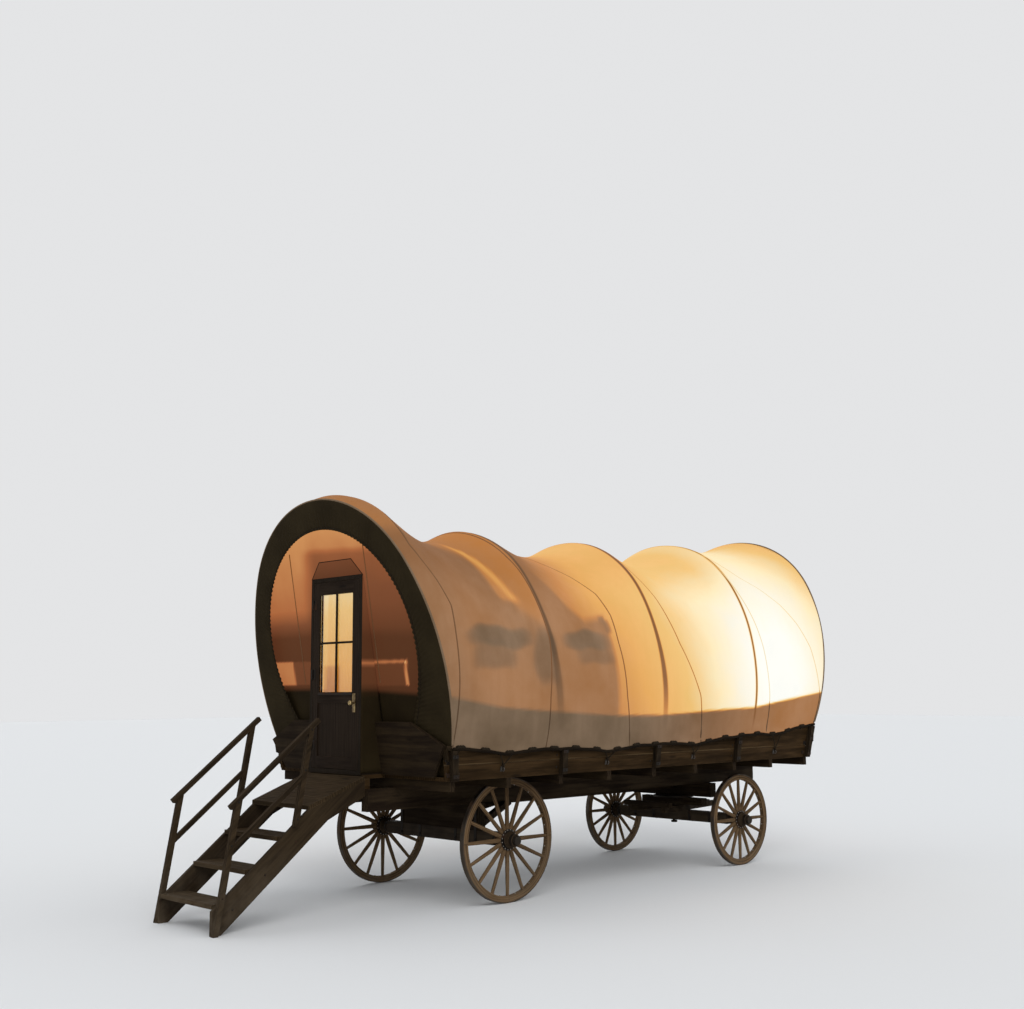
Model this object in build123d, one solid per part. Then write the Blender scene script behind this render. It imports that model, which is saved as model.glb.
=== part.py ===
"""Covered wagon with a canvas cabin, full size, parked with its steps at the door end.

Lengths are millimetres. The wagon is laid out in stations: x = 0 at the rear post of
the box, growing forward to the steering axle, y to the wagon's left, z = 0 on the ground.
The door and the steps are at the rear. Every piece is moved by -MIDDLE_X when it is
written, so that the origin lies on the ground under the middle of the whole object.
"""
import os
from math import asin, atan2, cos, hypot, radians, sin, sqrt, tan

from build123d import *

# Fits and seats
SEAT = 0.3
RUNNING = 0.05
PANEL_GAP = 3.0

# The box: posts, boards, floor
BAY = 1510.0
BAYS = 4
BOARD_Z = 1300.0
BOX_Y = 1420.0
FLARE = 8.0
BOARD_H = 150.0
BOARD_T = 38.0
BOARD_GAP = 4.0
END_REACH = 70.0
END_RAKE = 10.0
RAIL_T = 45.0
RAIL_W = 78.0
SWEEP_X = 2300.0
SWEEP_Z = 1585.0
SWEEP_R = 48000.0
STAKE_W = 72.0
STAKE_D = 58.0
STAKE_RAKES = (-9.0, -3.0, 0.0, 3.0, 9.0)
FLOOR_T = 36.0
PLANKS = 14
PLANK_FRONT_OUT = 45.0
JOIST_H = 100.0
JOIST_W = 60.0
JOISTS = 9
BEAM_Y = 500.0
BEAM_W = 100.0
BEAM_H = 220.0
INNER_WALL_T = 18.0
INNER_WALL_TOP = 2100.0
INNER_WALL_GAP = 12.0

# Bows and canvas. Each bow: lean outward from upright, straight-ish leg below the spring
BOW_T = 38.0
BOW_W = 50.0
BOW_FOOT_H = 30.0
SIDE_R = 2200.0
CROWN_RISE = 1850.0
BOWS = (  # station on the rail, lean (degrees, minus is to the rear), height of the spring
    (-45.0, -10.0, 730.0),
    (1412.0, -4.2, 503.0),
    (3094.0, 0.0, 514.0),
    (4794.0, 3.7, 560.0),
    (6148.0, 10.0, 660.0),
)
CANVAS_T = 8.0
CANVAS_SAGS = (270.0, 230.0, 250.0, 110.0)
SAG_STEPS = (0.25, 0.5, 0.75)
CANVAS_SKIRT = 32.0
REAR_EDGE_OUT = 6.0
REAR_EDGE_LEAN = -13.7
REAR_EDGE_LEG = 698.0
HOOD_T = 10.0
HOOD_FOOT_Y = 1000.0
HOOD_LEG = 915.0
HOOD_SIDE_R = 1750.0
HOOD_FOOT_H = 235.0
HOOD_RISE = 1110.0
WALL_T = 8.0
WALL_FOOT_IN = 75.0

# End boards of the box: corners of one half of the outline, from the foot to the flat top
END_BOARD_T = 38.0
END_BOARD_HALF = (  # distance from the middle, height above the ground
    (1270.0, 1340.0),
    (1470.0, 1650.0),
    (1000.0, 1866.0),
)

# Door and its boxed frame
DOOR_W = 800.0
DOOR_H = 1930.0
DOOR_T = 44.0
DOOR_FACE_X = -380.0
DOOR_CLEAR = 4.0
JAMB_T = 42.0
SILL_T = 45.0
SILL_W = 104.0
FRAME_INSIDE = 40.0
GLASS_W = 580.0
GLASS_H = 1020.0
GLASS_TOP = 130.0
GLASS_T = 6.0
MUNTIN = 22.0
HINGE_R = 11.0
HINGE_H = 100.0
HINGE_LEVELS = (0.12, 0.5, 0.88)
FLAP_H = 175.0
FLAP_TOP_W = 560.0
FLAP_T = 6.0
LOCK_Z = 670.0
LOCK_IN = 70.0
LOCK_PLATE_T = 4.0
LOCK_PLATE_W = 48.0
LOCK_PLATE_H = 190.0
KNOB = (  # distance from the leaf's face, radius
    (0.0, 10.0),
    (30.0, 10.0),
    (38.0, 24.0),
    (56.0, 26.0),
    (64.0, 18.0),
)

# Steps
LANDING_Z = 1090.0
LANDING_X = -1010.0
STEP_RISE = 272.5
STEP_RUN = 338.0
TREADS = 3
TREAD_T = 40.0
TREAD_DEPTH = 290.0
STEP_W = 1000.0
NOSE_OUT = 20.0
NOSE_UP = 14.0
RAMP_DOWN = 6.0
STRINGER_T = 40.0
STRINGER_DEPTH = 230.0
STRINGER_END = 160.0
STRINGER_TOE = 30.0
RAIL_BAR = 45.0
POST_BAR = 50.0
MIDRAIL_W = 36.0
HANDRAIL_START = 110.0
HANDRAIL_END = 60.0
HANDRAIL_RISE = 760.0
MIDRAIL_RISE = 370.0
POST_IN = 85.0
POST_LEAN = 10.0
UPPER_POST_FOOT = 190.0

# Running gear
REAR_AXLE_X = 1080.0
FRONT_AXLE_X = 5100.0
REAR_WHEEL_D = 1270.0
FRONT_WHEEL_D = 1110.0
TRACK = 2090.0
HUB_L = 260.0
HUB_R = 88.0
HUB_END_R = 62.0
ARM_R = 34.0
COLLAR_R = 58.0
COLLAR_L = 14.0
NUT_R = 46.0
NUT_L = 34.0
SPOKES = 16
SPOKE_SIDES = 8
SPOKE_ROOT_R = 25.0
SPOKE_TIP_R = 17.0
FELLOE_DEPTH = 58.0
FELLOE_W = 52.0
TYRE_T = 12.0
TYRE_W = 52.0
AXLE_H = 130.0
AXLE_W = 120.0
BOLSTER_W = 110.0
BOLSTER_L = 1300.0
REACH_H = 90.0
REACH_W = 90.0
HOUND_H = 70.0
HOUND_W = 60.0
REAR_HOUND_SPREAD = 430.0
REAR_HOUND_L = 950.0
PLATE_T = 12.0
PLATE_R = 260.0
KING_R = 20.0
SAND_BOLSTER_H = 90.0
SAND_BOLSTER_L = 1000.0
FRONT_HOUND_BACK = 560.0
FRONT_HOUND_FRONT = 820.0
FRONT_HOUND_SPREAD = 200.0
JAW_GAP = 84.0
JAW_L = 150.0
TONGUE_PIN_R = 13.0
TONGUE_PIN_IN = 55.0
SWAY_BAR_W = 60.0
SWAY_BAR_L = 760.0

# Rings for the canopy's tie ropes, on the lower side board
TIE_X = (640.0, 2200.0, 3700.0, 5330.0)
TIE_RING_Z = 1393.0
TIE_RING_R = 24.0
TIE_RING_BAR = 8.0
TIE_PLATE_T = 6.0
TIE_PLATE_W = 36.0
TIE_PLATE_H = 50.0

LENGTH = BAY * BAYS
POST_X = [BAY * i for i in range(BAYS + 1)]
RAIL_MEAN_Z = SWEEP_Z + 30.0
RAIL_OUT_Y = BOX_Y + (RAIL_MEAN_Z - BOARD_Z) * tan(radians(FLARE)) + 28.0
BOW_FOOT_Y = RAIL_OUT_Y - BOW_T / 2
BEAM_TOP = BOARD_Z - JOIST_H
BEAM_LOW = BEAM_TOP - BEAM_H
FLOOR_TOP = BOARD_Z + FLOOR_T
SILL_TOP = FLOOR_TOP + SILL_T
PITCH = STEP_RISE / STEP_RUN
STAIR_FOOT_X = LANDING_X - TREADS * STEP_RUN
WHEEL_Y = TRACK / 2
door_half = DOOR_W / 2 + DOOR_CLEAR
surround_y = door_half + JAMB_T
head_z = SILL_TOP + DOOR_H + 2 * DOOR_CLEAR
frame_top = head_z + JAMB_T

parts = {}


def flare_y(z):
    """Half-width of the box at the boards' outer face, at height z."""
    return BOX_Y + (z - BOARD_Z) * tan(radians(FLARE))


def rail_z(x):
    """Height of the top rail, an arc that is lowest at SWEEP_X and lifts to both ends."""
    return SWEEP_Z + SWEEP_R - sqrt(SWEEP_R**2 - (x - SWEEP_X) ** 2)


def end_x(z, front):
    """Station of a raked end of the box at height z."""
    reach = END_REACH + (z - BOARD_Z) * tan(radians(END_RAKE))
    return LENGTH + reach if front else -reach


def slab(y_z, x0, x1):
    """A polygon in y and z, carried from station x0 to x1."""
    outline = make_face(Plane.YZ.offset(x0) * Polyline(*y_z, close=True))
    return extrude(outline, x1 - x0, dir=(1, 0, 0))


def swept_side(z_low, drop=0.0, z_high=None):
    """Side silhouette between z_low and the rail's curve (or z_high), as a wide prism."""
    if z_high is None:
        xa = end_x(rail_z(-END_REACH) - drop, False)
        xb = end_x(rail_z(LENGTH + END_REACH) - drop, True)
        xm = (xa + xb) / 2
        top = ThreePointArc((xa, rail_z(xa) - drop), (xm, rail_z(xm) - drop), (xb, rail_z(xb) - drop))
    else:
        xa, xb = end_x(z_high, False), end_x(z_high, True)
        top = Line((xa, z_high), (xb, z_high))
    rear = Line((end_x(z_low, False), z_low), top @ 0)
    front = Line(top @ 1, (end_x(z_low, True), z_low))
    base = Line(front @ 1, rear @ 0)
    face = make_face(Plane.XZ * (rear + top + front + base))
    return extrude(face, 2 * BOX_Y, both=True)


def both_sides(right):
    """A piece of the right side (y below 0) and its mirror image on the left."""
    return [right, mirror(right, Plane.XZ)]


def block(x0, x1, y0, y1, z0, z1):
    """A straight timber between two corners."""
    return Pos((x0 + x1) / 2, (y0 + y1) / 2, (z0 + z1) / 2) * Box(x1 - x0, y1 - y0, z1 - z0)


def bar(start, end, width, height):
    """A straight timber of width x height whose centre line runs from start to end."""
    start, end = Vector(*start), Vector(*end)
    way = end - start
    side = Vector(0, 0, 1).cross(way)
    plane = Plane(origin=start, x_dir=side, z_dir=way)
    return extrude(plane * Rectangle(width, height), way.length)


def arch(foot_y, leg, side_r, rise, offset=0.0, skirt=0.0):
    """Edges of a three-centre arch from the right foot over the crown to the left foot.

    The side arcs bulge to their widest at height leg, and a crown arc closes over them
    at leg + rise. Offset grows every radius; skirt hangs straight below the feet.
    """
    centre = sqrt(side_r**2 - leg**2) - foot_y
    crown_r = (side_r**2 - rise**2 - centre**2) / (2 * (side_r - rise))
    crown_z = leg + rise - crown_r
    r_side, r_crown = side_r + offset, crown_r + offset
    low = -asin(leg / r_side)
    joint = atan2(crown_z - leg, centre)
    foot = (-centre + r_side * cos(low), leg + r_side * sin(low))
    middle = (-centre + r_side * cos((low + joint) / 2), leg + r_side * sin((low + joint) / 2))
    knee = (-centre + r_side * cos(joint), leg + r_side * sin(joint))
    left = [(-y, z) for y, z in (foot, middle, knee)]
    edges = [
        ThreePointArc(left[0], left[1], left[2]),
        ThreePointArc(left[2], (0, crown_z + r_crown), knee),
        ThreePointArc(knee, middle, foot),
    ]
    if skirt:
        edges.insert(0, Line((left[0][0], left[0][1] - skirt), left[0]))
        edges.append(Line(foot, (foot[0], foot[1] - skirt)))
    return edges


def horseshoe(outer, inner):
    """A face between an outer and an inner arch, closed across both feet."""
    feet = [Line(outer[-1] @ 1, inner[-1] @ 1), Line(inner[0] @ 0, outer[0] @ 0)]
    return make_face(Curve() + outer + inner + feet)


def lean_plane(x, lean, z):
    """Plane across the wagon at station x, height z, tipped forward by lean degrees."""
    turn = radians(lean)
    return Plane(origin=(x, 0, z), x_dir=(0, 1, 0), z_dir=(cos(turn), 0, -sin(turn)))


def bow_plane(i):
    """Leaning plane through the middle of a bow, with its origin between the bow's feet."""
    x, lean, _ = BOWS[i]
    return lean_plane(x, lean, rail_z(x))


def canopy_edge(front):
    """Plane and spring height of the canopy's edge, which leans out past the rear bow."""
    if front:
        return bow_plane(BAYS).offset(BOW_W / 2), BOWS[BAYS][2]
    foot = bow_plane(0).offset(-BOW_W / 2).origin
    return lean_plane(foot.X - REAR_EDGE_OUT, REAR_EDGE_LEAN, foot.Z), REAR_EDGE_LEG


# Floor: two long beams, joists across them, planks along the box
beam_rear = DOOR_FACE_X + 20.0
parts["floor_beams"] = [
    block(beam_rear, LENGTH + END_REACH, y - BEAM_W / 2, y + BEAM_W / 2, BEAM_LOW, BEAM_TOP)
    for y in (-BEAM_Y, BEAM_Y)
]
joist_x = [LENGTH * i / (JOISTS - 1) for i in range(JOISTS)]
parts["floor_joists"] = [
    block(x - JOIST_W / 2, x + JOIST_W / 2, -BOX_Y, BOX_Y, BEAM_TOP, BOARD_Z) for x in joist_x
]
floor_y = BOX_Y - BOARD_T - PANEL_GAP
pitch_y = 2 * floor_y / PLANKS
plank_rear = -END_REACH + PANEL_GAP
plank_front = LENGTH + PLANK_FRONT_OUT
parts["floor_boards"] = [
    block(plank_rear, plank_front, y0, y0 + pitch_y - PANEL_GAP, BOARD_Z, FLOOR_TOP)
    for y0 in [-floor_y + pitch_y * i for i in range(PLANKS)]
]

# Box sides: two flared boards each side, trimmed under the swept top rail
under_rail = swept_side(BOARD_Z, drop=RAIL_T + SEAT)
lower_top = BOARD_Z + BOARD_H
upper_low = lower_top + BOARD_GAP
x_all = (-BAY, LENGTH + BAY)


def flared(z0, z1, inner, outer):
    """Slab parallel to the flared right side, between two depths outside the boards' face."""
    corners = [(-flare_y(z) - depth, z) for z, depth in
               ((z0, outer), (z1, outer), (z1, inner), (z0, inner))]
    return slab(corners, *x_all)


lower_board = flared(BOARD_Z, lower_top, -BOARD_T, 0) & swept_side(BOARD_Z, z_high=lower_top)
upper_board = flared(upper_low, SWEEP_Z + 400, -BOARD_T, 0) & under_rail
parts["side_boards_right"], parts["side_boards_left"] = zip(
    both_sides(lower_board), both_sides(upper_board))

rail_solid = swept_side(SWEEP_Z - 2 * RAIL_T) - swept_side(SWEEP_Z - 3 * RAIL_T, drop=RAIL_T)
rail = rail_solid & block(*x_all, -RAIL_OUT_Y, -RAIL_OUT_Y + RAIL_W, BOARD_Z, 2 * SWEEP_Z)
parts["top_rails"] = both_sides(rail)

stake_slab = flared(BOARD_Z, SWEEP_Z + 400, SEAT, STAKE_D) & under_rail
stakes = []
for x, rake in zip(POST_X, STAKE_RAKES):
    tip = x + 600 * tan(radians(rake))
    outline = [(x - STAKE_W / 2, BOARD_Z), (tip - STAKE_W / 2, BOARD_Z + 600),
               (tip + STAKE_W / 2, BOARD_Z + 600), (x + STAKE_W / 2, BOARD_Z)]
    band = extrude(make_face(Plane.XZ * Polyline(*outline, close=True)), 2 * BOX_Y, both=True)
    stakes += both_sides(stake_slab & band)
parts["side_stakes"] = stakes


def end_board(front):
    """Raised end board of the box: flat top, sloped shoulders, raked with the end bow."""
    sign = 1 if front else -1
    rake = radians(END_RAKE)
    plane = lean_plane(end_x(BOARD_Z, front), sign * END_RAKE, BOARD_Z).offset(sign * SEAT)
    half = [(y, (z - BOARD_Z) / cos(rake)) for y, z in END_BOARD_HALF]
    if front:
        outline = half + [(-y, z) for y, z in reversed(half)]
        faces = [make_face(plane * Polyline(*outline, close=True))]
    else:
        outline = half + [(surround_y + SEAT, half[-1][1]), (surround_y + SEAT, half[0][1])]
        faces = [make_face(plane * Polyline(*[(s * y, z) for y, z in outline], close=True))
                 for s in (1, -1)]
    return [extrude(face, END_BOARD_T, dir=plane.z_dir * sign) for face in faces]


parts["rear_end_board"] = end_board(False)
parts["front_end_board"] = end_board(True)

# Inner walls, whose top edge shows through the canvas
wall_y = BOX_Y - BOARD_T - PANEL_GAP - INNER_WALL_GAP
parts["inner_walls"] = both_sides(
    block(BOW_W, LENGTH - BOW_W, -wall_y, -wall_y + INNER_WALL_T, FLOOR_TOP, INNER_WALL_TOP))

# Bows: bent three-centre arches standing on the rails
bows = []
below_rail = swept_side(BOARD_Z, drop=-SEAT)
for i, (_, _, leg) in enumerate(BOWS):
    ring = horseshoe(arch(BOW_FOOT_Y, leg, SIDE_R, CROWN_RISE, BOW_T / 2, BOW_FOOT_H),
                     arch(BOW_FOOT_Y, leg, SIDE_R, CROWN_RISE, -BOW_T / 2, BOW_FOOT_H))
    bows.append(extrude(bow_plane(i) * ring, BOW_W / 2, both=True) - below_rail)
parts["bows"] = bows


# Canvas: one skin over all bows, dipping between them, with a skirt lapping the rails
def canvas_ring(leg, sag):
    """Horseshoe outline of the canvas over a spring of height leg, its crown lowered by sag."""
    inner = BOW_T / 2 + SEAT
    rise = CROWN_RISE - sag
    return horseshoe(arch(BOW_FOOT_Y, leg, SIDE_R, rise, inner + CANVAS_T, CANVAS_SKIRT),
                     arch(BOW_FOOT_Y, leg, SIDE_R, rise, inner, CANVAS_SKIRT))


def between(a, b, share):
    """The value that lies a share of the way from a to b."""
    return a + share * (b - a)


rear_edge, rear_leg = canopy_edge(False)
sections = [rear_edge * canvas_ring(rear_leg, 0)]
for i, (foot_x, lean, leg) in enumerate(BOWS):
    for edge in (-BOW_W / 2, BOW_W / 2):
        sections.append(bow_plane(i).offset(edge) * canvas_ring(leg, 0))
    if i == BAYS:
        break
    next_foot_x, next_lean, next_leg = BOWS[i + 1]
    for share in SAG_STEPS:
        x = between(foot_x + BOW_W / 2, next_foot_x - BOW_W / 2, share)
        plane = lean_plane(x, between(lean, next_lean, share), rail_z(x))
        sag = 4 * CANVAS_SAGS[i] * share * (1 - share)
        sections.append(plane * canvas_ring(between(leg, next_leg, share), sag))
parts["canvas_cover"] = [loft(sections, ruled=True)]

rail_in_y = RAIL_OUT_Y - RAIL_W - SEAT
beside_rails = below_rail - block(*x_all, -rail_in_y, rail_in_y, 0, 2 * SWEEP_Z)


def end_canvas(front):
    """Gathered hood ring on the canopy's edge, and the canvas wall that it frames."""
    i = BAYS if front else 0
    sign = 1 if front else -1
    plane, leg = canopy_edge(front)
    plane = plane.offset(sign * SEAT)
    outer = arch(BOW_FOOT_Y, leg, SIDE_R, CROWN_RISE, BOW_T / 2 + SEAT + CANVAS_T)
    inner = arch(HOOD_FOOT_Y, HOOD_LEG, HOOD_SIDE_R, HOOD_RISE, 0, HOOD_FOOT_H)
    inner = [Pos(0, HOOD_FOOT_H) * edge for edge in inner]
    hood = extrude(plane * horseshoe(outer, inner), HOOD_T, dir=plane.z_dir * sign) - below_rail
    wall_plane = bow_plane(i).offset(sign * (BOW_W / 2 - WALL_T))
    _, lean, leg = BOWS[i]
    edge = arch(BOW_FOOT_Y, leg, SIDE_R, CROWN_RISE, -BOW_T / 2 - SEAT)
    outer_face_z = bow_plane(i).offset(sign * BOW_W / 2).origin.Z
    low = (FLOOR_TOP + SEAT - outer_face_z) / cos(radians(lean))
    foot = (rail_in_y - WALL_FOOT_IN, low)
    knee = (rail_in_y, (edge[0] @ 0).Y)
    sides = [Line(edge[-1] @ 1, knee), Line(knee, foot), Line(foot, (-foot[0], low)),
             Line((-foot[0], low), (-knee[0], knee[1])), Line((-knee[0], knee[1]), edge[0] @ 0)]
    wall = extrude(wall_plane * make_face(Curve() + edge + sides), WALL_T,
                   dir=wall_plane.z_dir * sign)
    return hood, wall - beside_rails


rear_hood, rear_wall = end_canvas(False)
front_hood, front_wall = end_canvas(True)
rear_wall -= block(*x_all, -surround_y - SEAT, surround_y + SEAT, BOARD_Z, frame_top + SEAT)
parts["rear_hood"] = [rear_hood]
parts["front_hood"] = [front_hood]
parts["rear_canvas_wall"] = [rear_wall]
parts["front_canvas_wall"] = [front_wall]


# Boxed door frame: upright outer face, back edges following the leaning canvas wall
def wall_x(z):
    """Station of the rear canvas wall's outer face at height z."""
    foot_x, lean, _ = BOWS[0]
    lean = radians(lean)
    return foot_x - BOW_W / 2 / cos(lean) + (z - rail_z(foot_x)) * tan(lean)


cheek = [(DOOR_FACE_X, FLOOR_TOP), (DOOR_FACE_X, frame_top),
         (wall_x(frame_top) + FRAME_INSIDE, frame_top), (wall_x(FLOOR_TOP) + FRAME_INSIDE, FLOOR_TOP)]
surround = extrude(Plane.XZ * make_face(Polyline(*cheek, close=True)), surround_y, both=True)
surround -= block(*x_all, -door_half, door_half, SILL_TOP, head_z)
surround -= block(DOOR_FACE_X + SILL_W, x_all[1], -door_half, door_half, BOARD_Z, SILL_TOP)
parts["door_frame"] = [surround]
parts["door_step_floor"] = [
    block(beam_rear, -END_REACH, -surround_y, surround_y, BOARD_Z, FLOOR_TOP),
    block(beam_rear, beam_rear + JOIST_W, -STEP_W / 2, STEP_W / 2, BEAM_TOP, BOARD_Z)]

# Canvas flap over the head of the frame, lying on the leaning wall
flap_plane = bow_plane(0).offset(-BOW_W / 2 - SEAT)
flap_low = (frame_top + SEAT - flap_plane.offset(-FLAP_T).origin.Z) / cos(radians(BOWS[0][1]))
flap_line = [(-surround_y, flap_low), (surround_y, flap_low),
             (FLAP_TOP_W / 2, flap_low + FLAP_H), (-FLAP_TOP_W / 2, flap_low + FLAP_H)]
flap = extrude(flap_plane * make_face(Polyline(*flap_line, close=True)), FLAP_T,
               dir=flap_plane.z_dir * -1)
parts["door_flap"] = [flap]

# Door leaf, glass and lock, on a hinge at the left jamb
leaf_x = DOOR_FACE_X
leaf_low = SILL_TOP + DOOR_CLEAR
leaf_top = leaf_low + DOOR_H
half_w = DOOR_W / 2
glass_low = leaf_top - GLASS_TOP - GLASS_H
glass_mid = glass_low + GLASS_H / 2
leaf = block(leaf_x, leaf_x + DOOR_T, -half_w, half_w, leaf_low, leaf_top)
leaf -= block(leaf_x - 9, leaf_x + 99, -GLASS_W / 2, GLASS_W / 2, glass_low, glass_low + GLASS_H)
pane_x = leaf_x + DOOR_T / 2
leaf += block(leaf_x + 4, pane_x - GLASS_T / 2 - SEAT, -MUNTIN / 2, MUNTIN / 2, glass_low - 5,
              glass_low + GLASS_H + 5)
leaf += block(leaf_x + 4, pane_x - GLASS_T / 2 - SEAT, -GLASS_W / 2 - 5, GLASS_W / 2 + 5,
              glass_mid - MUNTIN / 2, glass_mid + MUNTIN / 2)
leaf -= block(leaf_x + DOOR_T - 10, leaf_x + 99, -half_w + 90, half_w - 90, leaf_low + 120,
              glass_low - 110)
leaf -= block(leaf_x - 9, leaf_x + 10, -half_w + 90, half_w - 90, leaf_low + 120, glass_low - 110)
parts["door_leaf"] = [leaf]
parts["door_glass"] = [
    block(pane_x - GLASS_T / 2, pane_x + GLASS_T / 2, -GLASS_W / 2 + SEAT, GLASS_W / 2 - SEAT,
          glass_low + SEAT, glass_low + GLASS_H - SEAT)]
hinge_x = DOOR_FACE_X - HINGE_R - SEAT
hinge_y = half_w + DOOR_CLEAR / 2
knuckles = []
for level in HINGE_LEVELS:
    z = leaf_low + level * DOOR_H
    knuckles.append(Pos(hinge_x, hinge_y, z) * Cylinder(HINGE_R, HINGE_H))
parts["door_hinges"] = knuckles
lock_y, lock_z = -half_w + LOCK_IN, leaf_low + LOCK_Z
plate = block(leaf_x - LOCK_PLATE_T, leaf_x, lock_y - LOCK_PLATE_W / 2, lock_y + LOCK_PLATE_W / 2,
              lock_z - LOCK_PLATE_H / 2, lock_z + LOCK_PLATE_H / 2)
knob_line = [(0, 0)] + [(-out, r) for out, r in KNOB] + [(-KNOB[-1][0], 0)]
knob = revolve(make_face(Polyline(*knob_line, close=True)), Axis.X)
parts["door_lock"] = [plate + Pos(leaf_x, lock_y, lock_z) * knob]

# Steps: two stringers that bend up to the sill, treads between them, a sloping top board
top_x, top_z = beam_rear - SEAT, FLOOR_TOP - RAMP_DOWN
ramp_pitch = (top_z - LANDING_Z) / (top_x - LANDING_X)


def pitch_z(x):
    """Height of the line through the step noses at station x."""
    return LANDING_Z + (x - LANDING_X) * PITCH


def ramp_z(x):
    """Height of the sloping top board's upper face at station x."""
    return LANDING_Z + (x - LANDING_X) * ramp_pitch


edge_drop = NOSE_UP + NOSE_OUT * PITCH
bend_x = LANDING_X + (edge_drop - TREAD_T - SEAT) / (PITCH - ramp_pitch)
foot_x = STAIR_FOOT_X - STRINGER_TOE
depth_z = STRINGER_DEPTH * hypot(1, PITCH)
heel_x = LANDING_X - (LANDING_Z - edge_drop - depth_z) / PITCH
knee_x = bend_x + STRINGER_DEPTH
stringer_line = [
    (foot_x, 0), (foot_x, pitch_z(foot_x) - edge_drop), (bend_x, ramp_z(bend_x) - TREAD_T - SEAT),
    (top_x, top_z - TREAD_T - SEAT), (top_x, top_z - TREAD_T - STRINGER_END),
    (knee_x, pitch_z(knee_x) - edge_drop - depth_z), (heel_x, 0)]
stringer_face = Plane.XZ * make_face(Polyline(*stringer_line, close=True))
stringer = Pos(0, -STEP_W / 2, 0) * extrude(stringer_face, STRINGER_T, dir=(0, 1, 0))
parts["step_stringers"] = both_sides(stringer)
tread_half = STEP_W / 2 - STRINGER_T - SEAT
treads = []
for i in range(TREADS):
    z = STEP_RISE * (i + 1)
    nose = STAIR_FOOT_X + STEP_RUN * i - NOSE_OUT
    treads.append(block(nose, nose + TREAD_DEPTH, -tread_half, tread_half, z - TREAD_T, z))
parts["step_treads"] = treads
ramp_nose = LANDING_X - NOSE_OUT
ramp_line = [(ramp_nose, ramp_z(ramp_nose)), (top_x, top_z), (top_x, top_z - TREAD_T),
             (ramp_nose, ramp_z(ramp_nose) - TREAD_T)]
ramp_face = Plane.XZ * make_face(Polyline(*ramp_line, close=True))
parts["entry_ramp"] = [extrude(ramp_face, STEP_W / 2, both=True)]

# Handrails: leaning posts, a top rail and a mid rail in line with the steps
rail_y = STEP_W / 2 + POST_BAR / 2 + SEAT
post_slope = tan(radians(POST_LEAN))


def handrail(y):
    """One side's rails and posts, joined as they are bolted."""
    low_x, high_x = STAIR_FOOT_X + HANDRAIL_START, LANDING_X + HANDRAIL_END
    pieces = bar((low_x, y, pitch_z(low_x) + HANDRAIL_RISE),
                 (high_x, y, pitch_z(high_x) + HANDRAIL_RISE), RAIL_BAR, RAIL_BAR)
    post_x = (low_x + POST_IN, high_x - POST_IN)
    for x, foot in zip(post_x, (-POST_BAR, LANDING_Z - UPPER_POST_FOOT)):
        tip_z = pitch_z(x) + HANDRAIL_RISE
        pieces += bar((x - (tip_z - foot) * post_slope, y, foot), (x, y, tip_z), POST_BAR, POST_BAR)
    lean_in = (HANDRAIL_RISE - MIDRAIL_RISE) * post_slope
    mid_ends = [(x - lean_in, y, pitch_z(x - lean_in) + MIDRAIL_RISE) for x in post_x]
    pieces += bar(*mid_ends, MIDRAIL_W, RAIL_BAR)
    return pieces - ground


ground = block(-4 * LENGTH, 0, -BOX_Y, BOX_Y, -BOARD_Z, 0)
parts["handrail_right"] = [handrail(-rail_y)]
parts["handrail_left"] = [handrail(rail_y)]


# Wheels: turned hub, tapered spokes, wooden rim; the iron tyre is its own piece
def wooden_wheel(diameter):
    """Wheel about the y axis at the origin, hub bored for the axle arm."""
    rim_out = diameter / 2 - TYRE_T - SEAT
    rim_in = rim_out - FELLOE_DEPTH
    half = HUB_L / 2
    outline = [(ARM_R + RUNNING, -half), (HUB_END_R, -half), (HUB_END_R, -half + 50),
               (HUB_R, -half + 75), (HUB_R, half - 75), (HUB_END_R, half - 50),
               (HUB_END_R, half), (ARM_R + RUNNING, half)]
    hub = revolve(make_face(Polyline(*outline, close=True)), Axis.Y)
    rim = Cylinder(rim_out, FELLOE_W) - Cylinder(rim_in, FELLOE_W)
    wheel = hub + Rot(90, 0, 0) * rim
    reach = rim_in + FELLOE_DEPTH / 3 - HUB_R * 0.8
    root = Plane.XY.offset(HUB_R * 0.8)
    spoke = loft([root * RegularPolygon(SPOKE_ROOT_R, SPOKE_SIDES),
                  root.offset(reach) * RegularPolygon(SPOKE_TIP_R, SPOKE_SIDES)])
    for i in range(SPOKES):
        wheel += Rot(0, 360 / SPOKES * i, 0) * spoke
    return wheel


def iron_tyre(diameter):
    """Flat iron ring shrunk on the wooden rim."""
    ring = Cylinder(diameter / 2, TYRE_W) - Cylinder(diameter / 2 - TYRE_T, TYRE_W)
    return Rot(90, 0, 0) * ring


for end, x, diameter in (("rear", REAR_AXLE_X, REAR_WHEEL_D), ("front", FRONT_AXLE_X, FRONT_WHEEL_D)):
    wheel, tyre = wooden_wheel(diameter), iron_tyre(diameter)
    for side, y in (("right", -WHEEL_Y), ("left", WHEEL_Y)):
        place = Pos(x, y, diameter / 2)
        parts[f"wheel_{end}_{side}"] = [place * wheel]
        parts[f"tyre_{end}_{side}"] = [place * tyre]


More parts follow.
